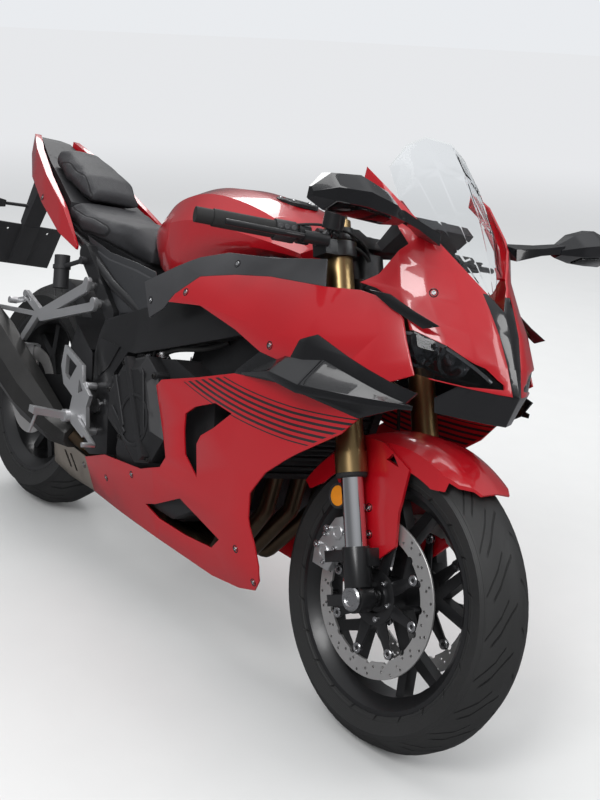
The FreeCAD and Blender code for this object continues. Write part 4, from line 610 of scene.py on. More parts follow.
class Shop:
    """Makes pieces with Blender's own operators and puts them on the bike."""

    def __init__(self, space: Space, materials: dict[str, bpy.types.Material],
                 nodes: dict[str, Piece]) -> None:
        """Keeps the bike's space, the finishes by name and the CAD nodes by name."""
        self.space = space
        self.materials = materials
        self.nodes = nodes

    def seat(self, node: str, x: float, z: float, side: Side) -> Place | None:
        """Finds the place on a node's outer surface that lies at an X and a Z.

        Args:
            node: the CAD node's name.
            x: distance forward, upright.
            z: height, upright.
            side: the side that the look comes from.

        Returns:
            The upright place and the surface's way out, or None where the node has nothing there.
        """
        start = self.space.matrix @ (Vector((x, side * LOOK_FROM, z)) * MM)
        hit, place, normal, _ = self.nodes[node].ray_cast(start, self.space.turn.to_3x3() @ -side.out)
        if not hit:
            log.info("%s: nothing at %s, %s", node, x, z)
            return None
        out = (self.space.back.to_3x3() @ normal).normalized()
        return tuple(self.space.back @ place / MM), -out if out.dot(side.out) < 0 else out

    @staticmethod
    def clear() -> None:
        """Deselects everything, so that the next operator acts on one piece only."""
        if bpy.context.object and bpy.context.object.mode != "OBJECT":
            bpy.ops.object.mode_set(mode="OBJECT")
        bpy.ops.object.select_all(action="DESELECT")

    def pick(self, piece: Piece) -> None:
        """Selects one piece only and makes it the active one."""
        self.clear()
        piece.select_set(True)
        bpy.context.view_layer.objects.active = piece

    @staticmethod
    def pick_faces(piece: Piece, rule: Callable[[bpy.types.MeshPolygon], bool]) -> None:
        """Selects only the faces that a rule accepts, and goes back to edit mode."""
        bpy.ops.object.mode_set(mode="OBJECT")
        for item in (*piece.data.vertices, *piece.data.edges):
            item.select = False
        for face in piece.data.polygons:
            face.select = bool(rule(face))
        bpy.ops.object.mode_set(mode="EDIT")

    def trace(self, points: list[Point]) -> Piece:
        """Draws edges from point to point, and leaves them selected in edit mode."""
        self.clear()
        bpy.ops.mesh.primitive_plane_add(size=MM)
        piece = bpy.context.object
        bpy.ops.object.mode_set(mode="EDIT")
        bpy.ops.mesh.select_all(action="SELECT")
        bpy.ops.mesh.merge(type="CENTER")
        places = [Vector(point) * MM for point in points]
        bpy.ops.transform.translate(value=places[0])
        for last, here in zip(places, places[1:]):
            bpy.ops.mesh.extrude_region_move(TRANSFORM_OT_translate={"value": here - last})
        bpy.ops.mesh.select_all(action="SELECT")
        return piece

    @staticmethod
    def close() -> None:
        """Turns all faces outward and leaves edit mode."""
        bpy.ops.mesh.select_all(action="SELECT")
        bpy.ops.mesh.normals_make_consistent(inside=False)
        bpy.ops.object.mode_set(mode="OBJECT")

    def plate(self, points: list[Point], push: Vector, width: float = 0.0, segments: int = 2) -> Piece:
        """Fills a closed outline, extrudes it and may round its edges.

        Args:
            points: the outline's corners.
            push: how far the face is extruded.
            width: the width of the rounding, or 0 for sharp edges.
            segments: the rounding's steps.

        Returns:
            The piece, still in the upright bike's place.
        """
        piece = self.trace(points)
        bpy.ops.mesh.edge_face_add()
        bpy.ops.mesh.extrude_region_move(TRANSFORM_OT_translate={"value": push * MM})
        self.close()
        return self.soften(piece, width, segments) if width else piece

    def lathe(self, profile: list[Flat], steps: int = 32) -> Piece:
        """Spins a profile of (radius, height) about Z, at the world's origin."""
        piece = self.trace([(radius, 0.0, height) for radius, height in profile])
        bpy.ops.mesh.spin(steps=steps, angle=2 * math.pi, center=(0, 0, 0), axis=(0, 0, 1))
        bpy.ops.mesh.select_all(action="SELECT")
        bpy.ops.mesh.remove_doubles(threshold=0.02 * MM)
        self.close()
        return piece

    def screw(self, radius: float, height: float, sides: int = 20) -> Piece:
        """Models a round-headed screw with a socket, head up along Z."""
        return self.lathe([(0, 0), (radius, 0), (radius, 0.62 * height), (0.86 * radius, height),
                           (0.5 * radius, height), (0.46 * radius, 0.35 * height), (0, 0.35 * height)],
                          sides)

    def drum(self, sides: int, radius: float, height: float, at: Point = (0.0, 0.0, 0.0)) -> Piece:
        """Makes a cylinder along Z with its middle at a place."""
        self.clear()
        bpy.ops.mesh.primitive_cylinder_add(vertices=sides, radius=radius * MM, depth=height * MM,
                                            location=tuple(c * MM for c in at))
        bpy.ops.object.transform_apply(location=True, rotation=True, scale=True)
        return bpy.context.object

    def hex_nut(self, radius: float, height: float, bore: float) -> Piece:
        """Models a nut with a sunk bore."""
        piece = self.drum(6, radius, height, (0, 0, height / 2))
        bpy.ops.object.mode_set(mode="EDIT")
        self.pick_faces(piece, lambda face: face.normal.z > 0.9)
        bpy.ops.mesh.inset(thickness=(radius - bore) * 0.8 * MM)
        bpy.ops.mesh.extrude_region_move(TRANSFORM_OT_translate={"value": (0, 0, -0.6 * height * MM)})
        bpy.ops.object.mode_set(mode="OBJECT")
        return piece

    @staticmethod
    def copy(piece: Piece, matrix: Matrix) -> Piece:
        """Copies a piece and moves the copy's mesh."""
        other = piece.copy()
        other.data = piece.data.copy()
        bpy.context.scene.collection.objects.link(other)
        other.data.transform(matrix)
        return other

    def copies(self, piece: Piece, places: list[Place], keep: bool = False) -> Piece:
        """Copies a piece to several places, each pointing its own way, and joins them.

        Args:
            piece: the model at the world's origin, pointing along Z.
            places: upright points and the ways that the copies point.
            keep: whether the model itself is kept.

        Returns:
            The joined piece, still upright.
        """
        made = []
        for point, way in places:
            turn = Vector(way).to_track_quat("Z", "Y").to_matrix().to_4x4()
            made.append(self.copy(piece, Matrix.Translation(Vector(point) * MM) @ turn))
        if not keep:
            bpy.data.objects.remove(piece)
        return self.joined(made)

    def joined(self, pieces: list[Piece]) -> Piece:
        """Joins pieces into the first of them."""
        self.pick(pieces[0])
        for piece in pieces:
            piece.select_set(True)
        bpy.ops.object.join()
        return bpy.context.object

    def hose(self, points: list[Point], radius: float) -> Piece:
        """Models a hose or a bar along a smooth line of upright control points."""
        curve = bpy.data.curves.new("hose", "CURVE")
        curve.dimensions = "3D"
        spline = curve.splines.new("NURBS")
        spline.points.add(len(points) - 1)
        for node, point in zip(spline.points, points):
            node.co = (*(Vector(point) * MM), 1.0)
        spline.order_u = min(4, len(points))
        spline.use_endpoint_u = True
        curve.resolution_u = 6
        curve.bevel_depth = radius * MM
        curve.bevel_resolution = 3
        curve.use_fill_caps = True
        piece = bpy.data.objects.new("hose", curve)
        bpy.context.scene.collection.objects.link(piece)
        self.pick(piece)
        bpy.ops.object.convert(target="MESH")
        return bpy.context.object

    def modify(self, piece: Piece, kind: str, **settings: object) -> Piece:
        """Changes a piece by a modifier of a kind and its settings, and applies it."""
        self.pick(piece)
        bpy.ops.object.modifier_apply(modifier=modifier(piece, kind, **settings).name)
        return piece

    def soften(self, piece: Piece, width: float, segments: int = 2) -> Piece:
        """Rounds a piece's sharp edges by a width in millimetres."""
        return self.modify(piece, "BEVEL", width=width * MM, segments=segments, limit_method="ANGLE",
                           angle_limit=math.radians(35))

    def mount(self, piece: Piece, name: str, finish: str, body: Body, slot: str = "",
              upright: bool = True) -> Piece:
        """Leans a finished piece into the row frame, dresses it and gives it its body.

        Args:
            piece: the piece.
            name: its name.
            finish: the finish it gets.
            body: the body it moves with.
            slot: not used.
            upright: whether its mesh is still in the upright bike's place.

        Returns:
            The piece.
        """
        piece.name = piece.data.name = name
        if upright:
            piece.data.transform(self.space.matrix @ piece.matrix_world)
            piece.matrix_world = Matrix.Identity(4)
        piece.data.materials.clear()
        piece.data.materials.append(self.materials[finish])
        self.pick(piece)
        bpy.ops.object.shade_smooth_by_angle(angle=CRISP_ANGLE)
        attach(piece, body.value)
        log.info("%s: %d faces", name, len(piece.data.polygons))
        return piece


@dataclass
class Assembly:
    """Pieces that belong together and are made in the shop."""

    shop: Shop

    def add(self, name: str, finish: str, body: Body, *pieces: Piece) -> Piece:
        """Joins pieces and mounts them as one."""
        return self.shop.mount(self.shop.joined(list(pieces)), name, finish, body)

    def put(self, name: str, finish: str, body: Body, model: Piece, places: list[Place]) -> Piece:
        """Copies a model to its places and mounts the copies as one piece."""
        return self.shop.mount(self.shop.copies(model, places), name, finish, body)


@dataclass
class Solids(Assembly):
    """The CAD nodes, which keep their shape and get crisp shading, rounded edges and a finish."""

    round_width: float = 1.2

    def build(self) -> None:
        """Dresses every node."""
        for name, node in self.shop.nodes.items():
            node.data.materials.clear()
            node.data.materials.append(self.shop.materials[NODE_FINISH[name]])
            modifier(node, "WELD", merge_threshold=MERGE)
            if name in BEVELLED:
                modifier(node, "BEVEL", width=self.round_width * MM, segments=2, limit_method="ANGLE",
                         angle_limit=math.radians(40), harden_normals=False, use_clamp_overlap=True)
            modifier(node, "EDGE_SPLIT", split_angle=CRISP_ANGLE)
            for face in node.data.polygons:
                face.use_smooth = True
            log.info("dressed %s", name)


@dataclass
class Pads(Assembly):
    """Both seats, blown up a little like foam under a sewn cover, sizes in metres."""

    voxel: float = 0.005
    shrink: float = 0.004
    cap: float = 0.009
    frames: int = 20

    def build(self) -> None:
        """Makes one pad from each seat's solid."""
        for node, name, finish in (("rider_seat", "rider_pad", "seat_front"),
                                   ("pillion_seat", "pillion_pad", "seat_rear")):
            pad = self.start(self.shop.nodes[node])
            self.swell(pad)
            self.shop.modify(pad, "SMOOTH", factor=0.5, iterations=18)
            self.shop.modify(pad, "SUBSURF", levels=1, render_levels=1)
            self.shop.mount(pad, name, finish, Body.CHASSIS, upright=False)
            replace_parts(pad, node)

    def start(self, node: Piece) -> Piece:
        """Copies a seat's solid, shrinks it and remeshes it evenly."""
        pad = bpy.data.objects.new("pad", node.data.copy())
        bpy.context.scene.collection.objects.link(pad)
        self.shop.pick(pad)
        bpy.ops.object.mode_set(mode="EDIT")
        bpy.ops.mesh.select_all(action="SELECT")
        bpy.ops.mesh.remove_doubles(threshold=MERGE)
        bpy.ops.mesh.normals_make_consistent(inside=False)
        bpy.ops.transform.shrink_fatten(value=-self.shrink)
        bpy.ops.object.mode_set(mode="OBJECT")
        pad.data.remesh_voxel_size = self.voxel
        bpy.ops.object.voxel_remesh()
        return pad

    def swell(self, pad: Piece) -> None:
        """Blows the pad up with cloth pressure and caps how far each point moves."""
        rest = [vertex.co.copy() for vertex in pad.data.vertices]
        cloth = modifier(pad, "CLOTH")
        cloth.settings.use_pressure = True
        cloth.settings.uniform_pressure_force = 4.0
        cloth.settings.quality = 5
        cloth.settings.effector_weights.gravity = 0.0
        cloth.point_cache.frame_start = 1
        cloth.point_cache.frame_end = self.frames
        for frame in range(1, self.frames + 1):
            bpy.context.scene.frame_set(frame)
        bpy.ops.object.modifier_apply(modifier=cloth.name)
        bpy.context.scene.frame_set(1)
        for vertex, start in zip(pad.data.vertices, rest):
            move = vertex.co - start
            if move.length > self.cap:
                vertex.co = start + move * (self.cap / move.length)


@dataclass
class FrontBrakes(Assembly):
    """Drilled front discs on black carriers, with their floating buttons."""

    middle: float = 64.0
    radius: float = 155.0
    inner: float = 122.0
    thick: float = 5.0
    buttons: int = 8
    button_circle: float = 110.0
    button_start: float = math.radians(38.6)
    holes: int = 40
    hole: float = 2.9

    def build(self) -> None:
        """Builds rings, carriers and buttons on both sides."""
        body = Body.FRONT_WHEEL
        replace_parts(self.add("disc_rings", "disc_steel", body, *self.pair(self.ring())), "front_discs")
        self.add("disc_carriers", "black_metal", body, *self.pair(self.carrier()))
        self.add("disc_buttons", "bright_steel", body, *self.pair(self.button_set()))

    def pair(self, model: Piece) -> list[Piece]:
        """Puts a piece modelled flat at the origin on both discs."""
        made = []
        for side in Side:
            turn = Matrix.Rotation(math.radians(-90.0 * side), 4, "X")
            move = Matrix.Translation((FRONT_AXLE.x * MM, side * self.middle * MM, FRONT_AXLE.z * MM))
            made.append(self.shop.copy(model, move @ turn))
        bpy.data.objects.remove(model)
        return made

    def ring(self) -> Piece:
        """Makes one friction ring with a wavy inner edge and two rows of drillings."""
        half, edge = self.thick / 2, self.radius - 0.8
        ring = self.shop.lathe([(self.inner, -half), (edge, -half), (self.radius, 0.8 - half),
                                (self.radius, half - 0.8), (edge, half), (self.inner, half),
                                (self.inner, -half)], 128)
        step, count = 2 * math.pi / self.holes, self.buttons * 2
        cutters = [(step * index, (131.0, 140.0, 148.0, 138.0)[index % 4], self.hole)
                   for index in range(self.holes)]
        cutters += [(step * (2 * index + 1) + 0.04, (132.0, 146.5)[index % 2], self.hole)
                    for index in range(self.holes // 2)]
        cutters += [(2 * math.pi * (index + 0.5) / count, self.inner - 3.0, 8.0) for index in range(count)]
        drills = []
        for angle, reach, radius in cutters:
            at = (reach * math.cos(angle), reach * math.sin(angle), 0)
            drills.append(self.shop.drum(14, radius, 4 * self.thick, at))
        cutter = self.shop.joined(drills)
        self.shop.modify(ring, "BOOLEAN", operation="DIFFERENCE", solver="EXACT", object=cutter)
        bpy.data.objects.remove(cutter)
        return ring

    def carrier(self) -> Piece:
        """Makes the dished carrier with an arm to each button."""
        parts = [self.shop.lathe([(30, -2), (52, -2), (54, -0.5), (54, 2.5), (50, 4), (34, 4), (30, 2.5),
                                  (30, -2)], 48)]
        outline = ((46, -15, -2), (98, -9, -1.6), (116, -11, -1.6), (122, 0, -1.6), (116, 11, -1.6),
                   (98, 9, -1.6), (46, 15, -2))
        for index in range(self.buttons):
            turn = self.button_start + 2 * math.pi * index / self.buttons
            arm = self.shop.plate(outline, UP * 4.0, 0.8)
            arm.data.transform(Matrix.Rotation(turn, 4, "Z"))
            parts.append(arm)
        return self.shop.joined(parts)

    def button_set(self) -> Piece:
        """Makes the silver button rings and the carrier's screws."""
        button = self.shop.lathe([(4.2, -4.4), (9.2, -4.4), (10.4, -3.4), (10.4, 3.4), (9.2, 4.6),
                                  (6.2, 4.6), (5.2, 3.2), (4.2, 3.2), (4.2, -4.4)], 28)
        places = [((x, y, 0), UP) for x, y in circle(self.buttons, self.button_circle, self.button_start)]
        bolts = [((x, y, 3.6), UP) for x, y in circle(6, 42)]
        return self.shop.joined([self.shop.copies(button, places),
                                 self.shop.copies(self.shop.screw(6.2, 5.0), bolts)])


@dataclass
class ForkTrim(Assembly):
    """Dust seals, top caps, hoses, screws and the reflectors' rims."""

    stanchion: float = 21.7
    tube: float = 27.0
    seal_at: float = 233.0
    top_at: float = 742.0
    reflector: Point = (1292.0, 83.4, 456.0)
    clamps: tuple[float, ...] = (478, 492, 694, 706)

    def build(self) -> None:
        """Builds the trim on both legs."""
        shop, body = self.shop, Body.STEERING
        inner, lip = self.stanchion, self.tube + 3
        seal = shop.lathe([(inner, -6), (self.tube + 1, -6), (lip, -3), (lip, 3), (inner, 3), (inner, -6)],
                          40)
        cap = shop.lathe([(0, 0), (20, 0), (20, 5), (17, 7), (13, 7), (12, 4), (8, 4), (8, 9), (6, 10),
                          (0, 10)], 40)
        knob = shop.lathe([(0, 0), (5.5, 0), (5.5, 4), (4.5, 5), (0, 5)], 12)
        for name, finish, model, up in (("fork_seals", "rubber", seal, self.seal_at),
                                        ("fork_caps", "black_metal", cap, self.top_at),
                                        ("fork_adjusters", "gold_tube", knob, self.top_at + 10)):
            self.put(name, finish, body, model, [(fork_point(0, side * LEG_Y, up), FORK_UP)
                                                 for side in Side])
        x, reach, z = self.reflector
        rim = shop.lathe([(20, 0), (25.5, 0), (25.5, 9), (24, 10.5), (22, 10.5), (21, 9), (20, 9), (20, 0)],
                         40)
        self.put("reflector_rims", "black_plastic", body, rim,
                 [((x, side * reach, z), side.out) for side in Side])
        self.add("brake_hoses", "rubber", body, *(self.brake_hose(side) for side in Side))
        places = [place for side in Side for place in self.screws(side)]
        self.put("fork_screws", "bright_steel", body, shop.screw(7.5, 6.0), places)

    def brake_hose(self, s: Side) -> Piece:
        """Runs a hose from a caliper up behind the fork leg to the lower yoke."""
        return self.shop.hose([(1290, s * 64, 434), (1288, s * 66, 462), (1262, s * 78, 500),
                               (1244, s * 84, 560), (1232, s * 78, 640), (1212, s * 60, 700),
                               (1196, s * 40, 726)], 3.6)

    def screws(self, side: Side) -> list[Place]:
        """Gives the places of the screws on a side's caliper and yokes."""
        out = Vector((math.cos(RAKE) * 0.7, side * 0.7, math.sin(RAKE) * 0.7))
        clamps = [(fork_point(22, side * (LEG_Y + 28), up), out) for up in self.clamps]
        return [((1268, side * 92.6, 348), side.out), ((1288, side * 92.6, 388), side.out), *clamps]


@dataclass
class Hubs(Assembly):
    """Axle nuts, valve stems and sprocket screws."""

    front_nut_y: float = 122.5
    rear_nut_y: float = 150.0
    sprocket_y: float = 107.0
    sprocket_circle: float = 68.0
    valve_circle: float = 197.0
    valve_angle: float = math.radians(200.0)

    def build(self) -> None:
        """Builds the hub hardware of both wheels."""
        shop = self.shop
        nut = shop.lathe([(8, 0), (23, 0), (24, 1), (24, 4), (21, 7), (15, 7), (13, 5), (10, 5), (10, 2),
                          (8, 2), (8, 0)], 36)
        self.put("front_axle_nuts", "bright_steel", Body.STEERING, nut,
                 [((FRONT_AXLE.x, side * self.front_nut_y, FRONT_AXLE.z), side.out) for side in Side])
        washer = shop.lathe([(12, 0), (25, 0), (25, 2.4), (12, 2.4), (12, 0)], 36)
        places = [((0.0, side * self.rear_nut_y, REAR_AXLE_Z), side.out) for side in Side]
        self.add("rear_axle_nuts", "bright_steel", Body.CHASSIS,
                 shop.copies(shop.hex_nut(19.0, 12.0, 11.0), places), shop.copies(washer, places))
        along, up = math.cos(self.valve_angle), math.sin(self.valve_angle)
        for name, body, x, z in (("front_valve", Body.FRONT_WHEEL, FRONT_AXLE.x, FRONT_AXLE.z),
                                 ("rear_valve", Body.REAR_WHEEL, 0.0, REAR_AXLE_Z)):
            stem = shop.lathe([(0, 0), (4.5, 0), (4.5, 8), (3, 10), (3, 24), (4, 25), (4, 33), (0, 34)], 14)
            place = (x + self.valve_circle * along, 0.0, z + self.valve_circle * up)
            self.put(name, "black_metal", body, stem, [(place, Vector((-along, -0.25, -up)))])
        spots = circle(6, self.sprocket_circle)
        ring = [((x, self.sprocket_y, REAR_AXLE_Z + z), Side.LEFT.out) for x, z in spots]
        self.put("sprocket_bolts", "bright_steel", Body.REAR_WHEEL, shop.hex_nut(8.0, 6.0, 4.0), ring)


@dataclass
class DriveChain(Assembly):
    """The chain's links, laid round both sprockets."""

    pitch: float = 15.875
    line: float = 104.0
    rear_teeth: int = 48
    front_teeth: int = 16
    front: Flat = (560.0, 408.0)
    outline: tuple[Flat, ...] = ((-5, -5.6), (0, -7), (5, -5.6), (7.9, -4.2), (10.9, -5.6), (15.9, -7),
                                 (20.9, -5.6), (22.8, 0), (20.9, 5.6), (15.9, 7), (10.9, 5.6), (7.9, 4.2),
                                 (5, 5.6), (0, 7), (-5, 5.6), (-6.9, 0))

    def build(self) -> None:
        """Lays a link at each pitch along the loop."""
        stops = self.stops()
        across = Side.LEFT.out
        roller = self.shop.lathe([(0, -9), (3, -9), (3.2, -6.4), (5.2, -6.3), (5.2, 6.3), (3.2, 6.4),
                                  (3, 9), (0, 9)], 10)
        rollers = self.shop.copies(roller, [((x, self.line, z), across) for x, z in stops])
        self.shop.mount(rollers, "chain_rollers", "bright_steel", Body.CHASSIS, "dark_steel")
        plate = self.shop.plate([(x, y, 0) for x, y in self.outline], UP * 1.6)
        plates = []
        for index, (here, ahead) in enumerate(zip(stops, stops[1:] + stops[:1])):
            way = Vector((ahead[0] - here[0], 0, ahead[1] - here[1])).normalized()
            turn = Matrix((way, across.cross(way), across)).transposed().to_4x4()
            reach = 7.6 if index % 2 else 5.6
            for low in (-reach - 0.8, reach - 0.8):
                place = Matrix.Translation(Vector((here[0], self.line + low, here[1])) * MM)
                plates.append(self.shop.copy(plate, place @ turn))
        bpy.data.objects.remove(plate)
        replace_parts(self.add("chain_links", "dark_steel", Body.CHASSIS, *plates), "chain")

    def stops(self) -> list[Flat]:
        """Gives the pins' places (x, z) along the loop, evenly spaced."""
        rear_r = self.pitch / (2 * math.sin(math.pi / self.rear_teeth))
        front_r = self.pitch / (2 * math.sin(math.pi / self.front_teeth))
        dx, dz = self.front[0], self.front[1] - REAR_AXLE_Z
        tilt = math.atan2(dz, dx)
        spread = math.asin((rear_r - front_r) / math.hypot(dx, dz))
        top, low = tilt + math.pi / 2 - spread, tilt - math.pi / 2 + spread
        line = []
        for x, z, radius, start, end, steps in ((0.0, REAR_AXLE_Z, rear_r, top, 2 * math.pi + low, 180),
                                                (*self.front, front_r, low, top, 90)):
            for step in range(steps + 1):
                angle = start + (end - start) * step / steps
                line.append((x + radius * math.cos(angle), z + radius * math.sin(angle)))
        line.append(line[0])
        lengths = [math.dist(a, b) for a, b in zip(line, line[1:])]
        count = 2 * round(sum(lengths) / self.pitch / 2)
        stops, gone, index = [], 0.0, 0
        for number in range(count):
            want = number * (sum(lengths) / count)
            while gone + lengths[index] < want:
                gone += lengths[index]
                index += 1
            share = (want - gone) / lengths[index]
            a, b = line[index], line[index + 1]
            stops.append((a[0] + share * (b[0] - a[0]), a[1] + share * (b[1] - a[1])))
        return stops


@dataclass
class Cockpit(Assembly):
    """The display, switch buttons, reservoir caps and the wires between them."""

    bar_start: Point = (1152.0, -138.0, 932.0)
    bar_end: Point = (1061.0, -392.0, 928.0)
    dash_low: Point = (1238.0, 0.0, 948.5)
    dash_high: Point = (1281.0, 0.0, 997.0)

    def build(self) -> None:
        """Builds the cockpit's small pieces."""
        self.display()
        self.switches()
        hoses = []
        for s in Side:
            hoses.append(self.shop.hose([(1112, s * 236, 920), (1138, s * 200, 930), (1180, s * 120, 935),
                                         (1184, s * 70, 925), (1172, s * 40, 905)], 3.2))
            hoses.append(self.shop.hose([(1126, s * 214, 944), (1158, s * 172, 962), (1176, s * 96, 958),
                                         (1180, s * 52, 930), (1168, s * 34, 905)], 2.8))
        self.add("bar_wires", "rubber", Body.STEERING, *hoses)

    def display(self) -> None:
        """Lays a bevelled glass on the dash's rear face."""
        low, high = Vector(self.dash_low), Vector(self.dash_high)
        along = (high - low).normalized()
        out = Vector((-along.z, 0.0, along.x))
        edges = ((low, -72), (low, 72), (high, 76), (high, -76))
        corners = [at + Vector((0, y, 0)) + out * 0.6 for at, y in edges]
        self.add("display_glass", "screen_black", Body.CHASSIS, self.shop.plate(corners, out * 2.0, 0.9))

    def switches(self) -> None:
        """Puts buttons on the switch boxes and caps on the reservoirs."""
        buttons, caps = [], []
        for side in Side:
            start, end = (Vector((x, -side * y, z)) for x, y, z in (self.bar_start, self.bar_end))
            along = (end - start).normalized()
            ahead = UP.cross(along).normalized() * -side
            for step, rise in ((-14, 0.5), (0, 0.5), (13, 0.5), (-6, -0.2)):
                way = (ahead + UP * rise).normalized()
                buttons.append((end - along * 176 + along * step + way * 20.0, way))
            caps.append((end - along * 260 + ahead * 34 + UP * 62, UP))
        button = self.shop.lathe([(0, 0), (5.5, 0), (5.5, 2.5), (4.5, 3.4), (0, 3.4)], 16)
        cap = self.shop.lathe([(0, 0), (22.5, 0), (22.5, 6), (21, 8), (6, 8), (5, 7), (0, 7)], 36)
        self.put("switch_buttons", "grey_plastic", Body.STEERING, button, buttons)
        self.put("reservoir_caps", "black_plastic", Body.STEERING, cap, caps)


@dataclass
class NoseLamps(Assembly):
    """What shows behind the smoked lenses, the pale strip over each and the rim under it."""

    def build(self) -> None:
        """Builds bowls, strips and rims on both sides."""
        bowl = self.shop.lathe([(0, -30), (14, -27), (25, -16), (31, 0), (33, 0), (33, 3), (27, 3), (24, 0),
                                (12, -18), (0, -21)], 36)
        places = []
        for s in Side:
            places += [((1496, s * 84, 780), Vector((0.92, s * 0.34, 0.02))),
                       ((1448, s * 124, 786), Vector((0.86, s * 0.46, 0.02)))]
        self.put("lamp_bowls", "lamp_bowl", Body.CHASSIS, bowl, places)
        strips = [self.shop.hose([(1406, s * 146, 806), (1446, s * 128, 813), (1494, s * 104, 801),
                                  (1538, s * 68, 777), (1558, s * 44, 759)], 3.0) for s in Side]
        self.add("lamp_strips", "pale_strip", Body.CHASSIS, *strips)
        rims = [self.shop.hose([(1424, s * 140, 779), (1452, s * 130, 753), (1500, s * 100, 750),
                                (1545, s * 62, 749)], 2.4) for s in Side]
        self.add("lamp_rims", "black_gloss", Body.CHASSIS, *rims)


@dataclass
class TankFittings(Assembly):
    """The filler cap and its screws."""

    place: Point = (862.0, 0.0, 983.0)
    screw_circle: float = 42.5

    def build(self) -> None:
        """Builds the cap."""
        x, y, z = self.place
        cap = self.shop.lathe([(0, -6), (48, -6), (48, 1), (46, 3), (39, 4), (37, 2.6), (30, 2.6), (28, 5),
                               (10, 6), (8, 4), (0, 4)], 56)
        self.put("filler_cap", "black_metal", Body.CHASSIS, cap, [((x, y, z), Vector((0.03, 0, 1)))])
        self.put("filler_screws", "bright_steel", Body.CHASSIS, self.shop.screw(4.0, 3.0),
                 [((x + dx, y + dy, z + 3.4), UP) for dx, dy in circle(7, self.screw_circle)])


@dataclass
class PanelScrews(Assembly):
    """Fasteners on the panels, nose and fender flaps, each in a shallow cup."""

    spots: tuple[tuple[str, float, float], ...] = (
        ("lower_panels", 1125, 283), ("lower_panels", 480, 290), ("lower_panels", 700, 300),
        ("lower_panels", 560, 245), ("lower_panels", 1180, 232), ("side_panels", 1150, 712),
        ("side_panels", 835, 752), ("nose_cowl", 1436, 888), ("nose_cowl", 1496, 912),
        ("front_fender", 1369, 459), ("front_fender", 1385, 411), ("front_fender", 1309, 462),
        ("frame_covers", 700, 706), ("frame_covers", 960, 840), ("exhaust_guard", 420, 232),
        ("tail_wings", -60, 840))

    def build(self) -> None:
        """Builds the fasteners of both sides."""
        cup = self.shop.lathe([(0, -1.5), (8.5, -1.5), (8.5, 0.6), (7.6, 0.9), (6.6, 0.4), (6.2, -0.4),
                               (0, -0.4)], 24)
        screw = self.shop.screw(4.6, 2.2, 18)
        panels, flaps = [], []
        for side in Side:
            for node, x, z in self.spots:
                seat = self.shop.seat(node, x, z, side)
                if seat:
                    (flaps if node == "front_fender" else panels).append(seat)
        for name, places, body in (("panel", panels, Body.CHASSIS), ("fender", flaps, Body.STEERING)):
            self.add(name + "_screws", "bright_steel", body, self.shop.copies(screw, places, keep=True))
            self.add(name + "_cups", "black_gloss", body, self.shop.copies(cup, places, keep=True))
        bpy.data.objects.remove(screw)
        bpy.data.objects.remove(cup)


@dataclass
class SeatCovers(Assembly):
    """The plastic covers that close the sides under the seats, down to the frame."""

    outline: tuple[Flat, ...] = ((205, 782), (352, 762), (500, 762), (598, 758), (640, 700), (622, 656),
                                 (560, 634), (470, 612), (405, 640), (300, 700))
    start: Flat = (200.0, 122.0)
    spread: float = 0.075
    thick: float = 3.0
    border: float = 16.0
    rise: float = 4.0
    narrowing: float = 0.94

    def build(self) -> None:
        """Builds both covers with a raised inner field."""
        covers = []
        start, y = self.start
        for side in Side:
            corners = [(x, side * (y + self.spread * (x - start)), z) for x, z in self.outline]
            cover = self.shop.plate(corners, side.out * self.thick)
            bpy.ops.object.mode_set(mode="EDIT")
            self.shop.pick_faces(cover, lambda face: face.normal.y * side > 0.9)
            bpy.ops.mesh.inset(thickness=self.border * MM)
            bpy.ops.mesh.extrude_region_move(TRANSFORM_OT_translate={"value": side.out * self.rise * MM})
            bpy.ops.transform.resize(value=(self.narrowing, 1, self.narrowing))
            bpy.ops.object.mode_set(mode="OBJECT")
            covers.append(self.shop.soften(cover, 1.2))
        self.add("seat_side_covers", "cover_grey", Body.CHASSIS, *covers)


@dataclass
class CaliperTrim(Assembly):
    """Piston caps, pins and a banjo on each front caliper."""

    face_y: float = 92.9
    banjo_y: float = 80.0
    caps: tuple[Flat, ...] = ((140.5, 141.0), (163.5, 141.0))
    pins: tuple[Flat, ...] = ((152.0, 160.0), (152.0, 122.0), (133.0, 132.0), (171.0, 132.0))
    banjo: Flat = (152.0, 166.0)

    @staticmethod
    def around(spot: Flat, y: float) -> Point:
        """Gives the place at an angle in degrees and a distance round the front axle."""
        turn = math.radians(spot[0])
        return (FRONT_AXLE.x + spot[1] * math.cos(turn), y, FRONT_AXLE.z + spot[1] * math.sin(turn))

    def build(self) -> None:
        """Builds the trim of both calipers."""
        banjo = self.shop.lathe([(0, 0), (6, 0), (6, 3), (9, 3), (9, 9), (6.5, 9), (6.5, 13), (0, 13)], 18)
        turn = math.radians(self.banjo[0])
        way = Vector((math.cos(turn), 0, math.sin(turn)))
        self.put("caliper_banjos", "bright_steel", Body.STEERING, banjo,
                 [(self.around(self.banjo, side * self.banjo_y), way) for side in Side])
        cap = self.shop.lathe([(0, -2), (15, -2), (15, 1.6), (13.5, 3), (9, 3), (8, 1.8), (0, 1.8)], 32)
        for name, finish, model, spots in (("caliper_caps", "cast_silver", cap, self.caps),
                                           ("caliper_pins", "bright_steel", self.shop.screw(5.0, 4.0),
                                            self.pins)):
            places = [(self.around(spot, side * self.face_y), side.out) for side in Side for spot in spots]
            self.put(name, finish, Body.STEERING, model, places)


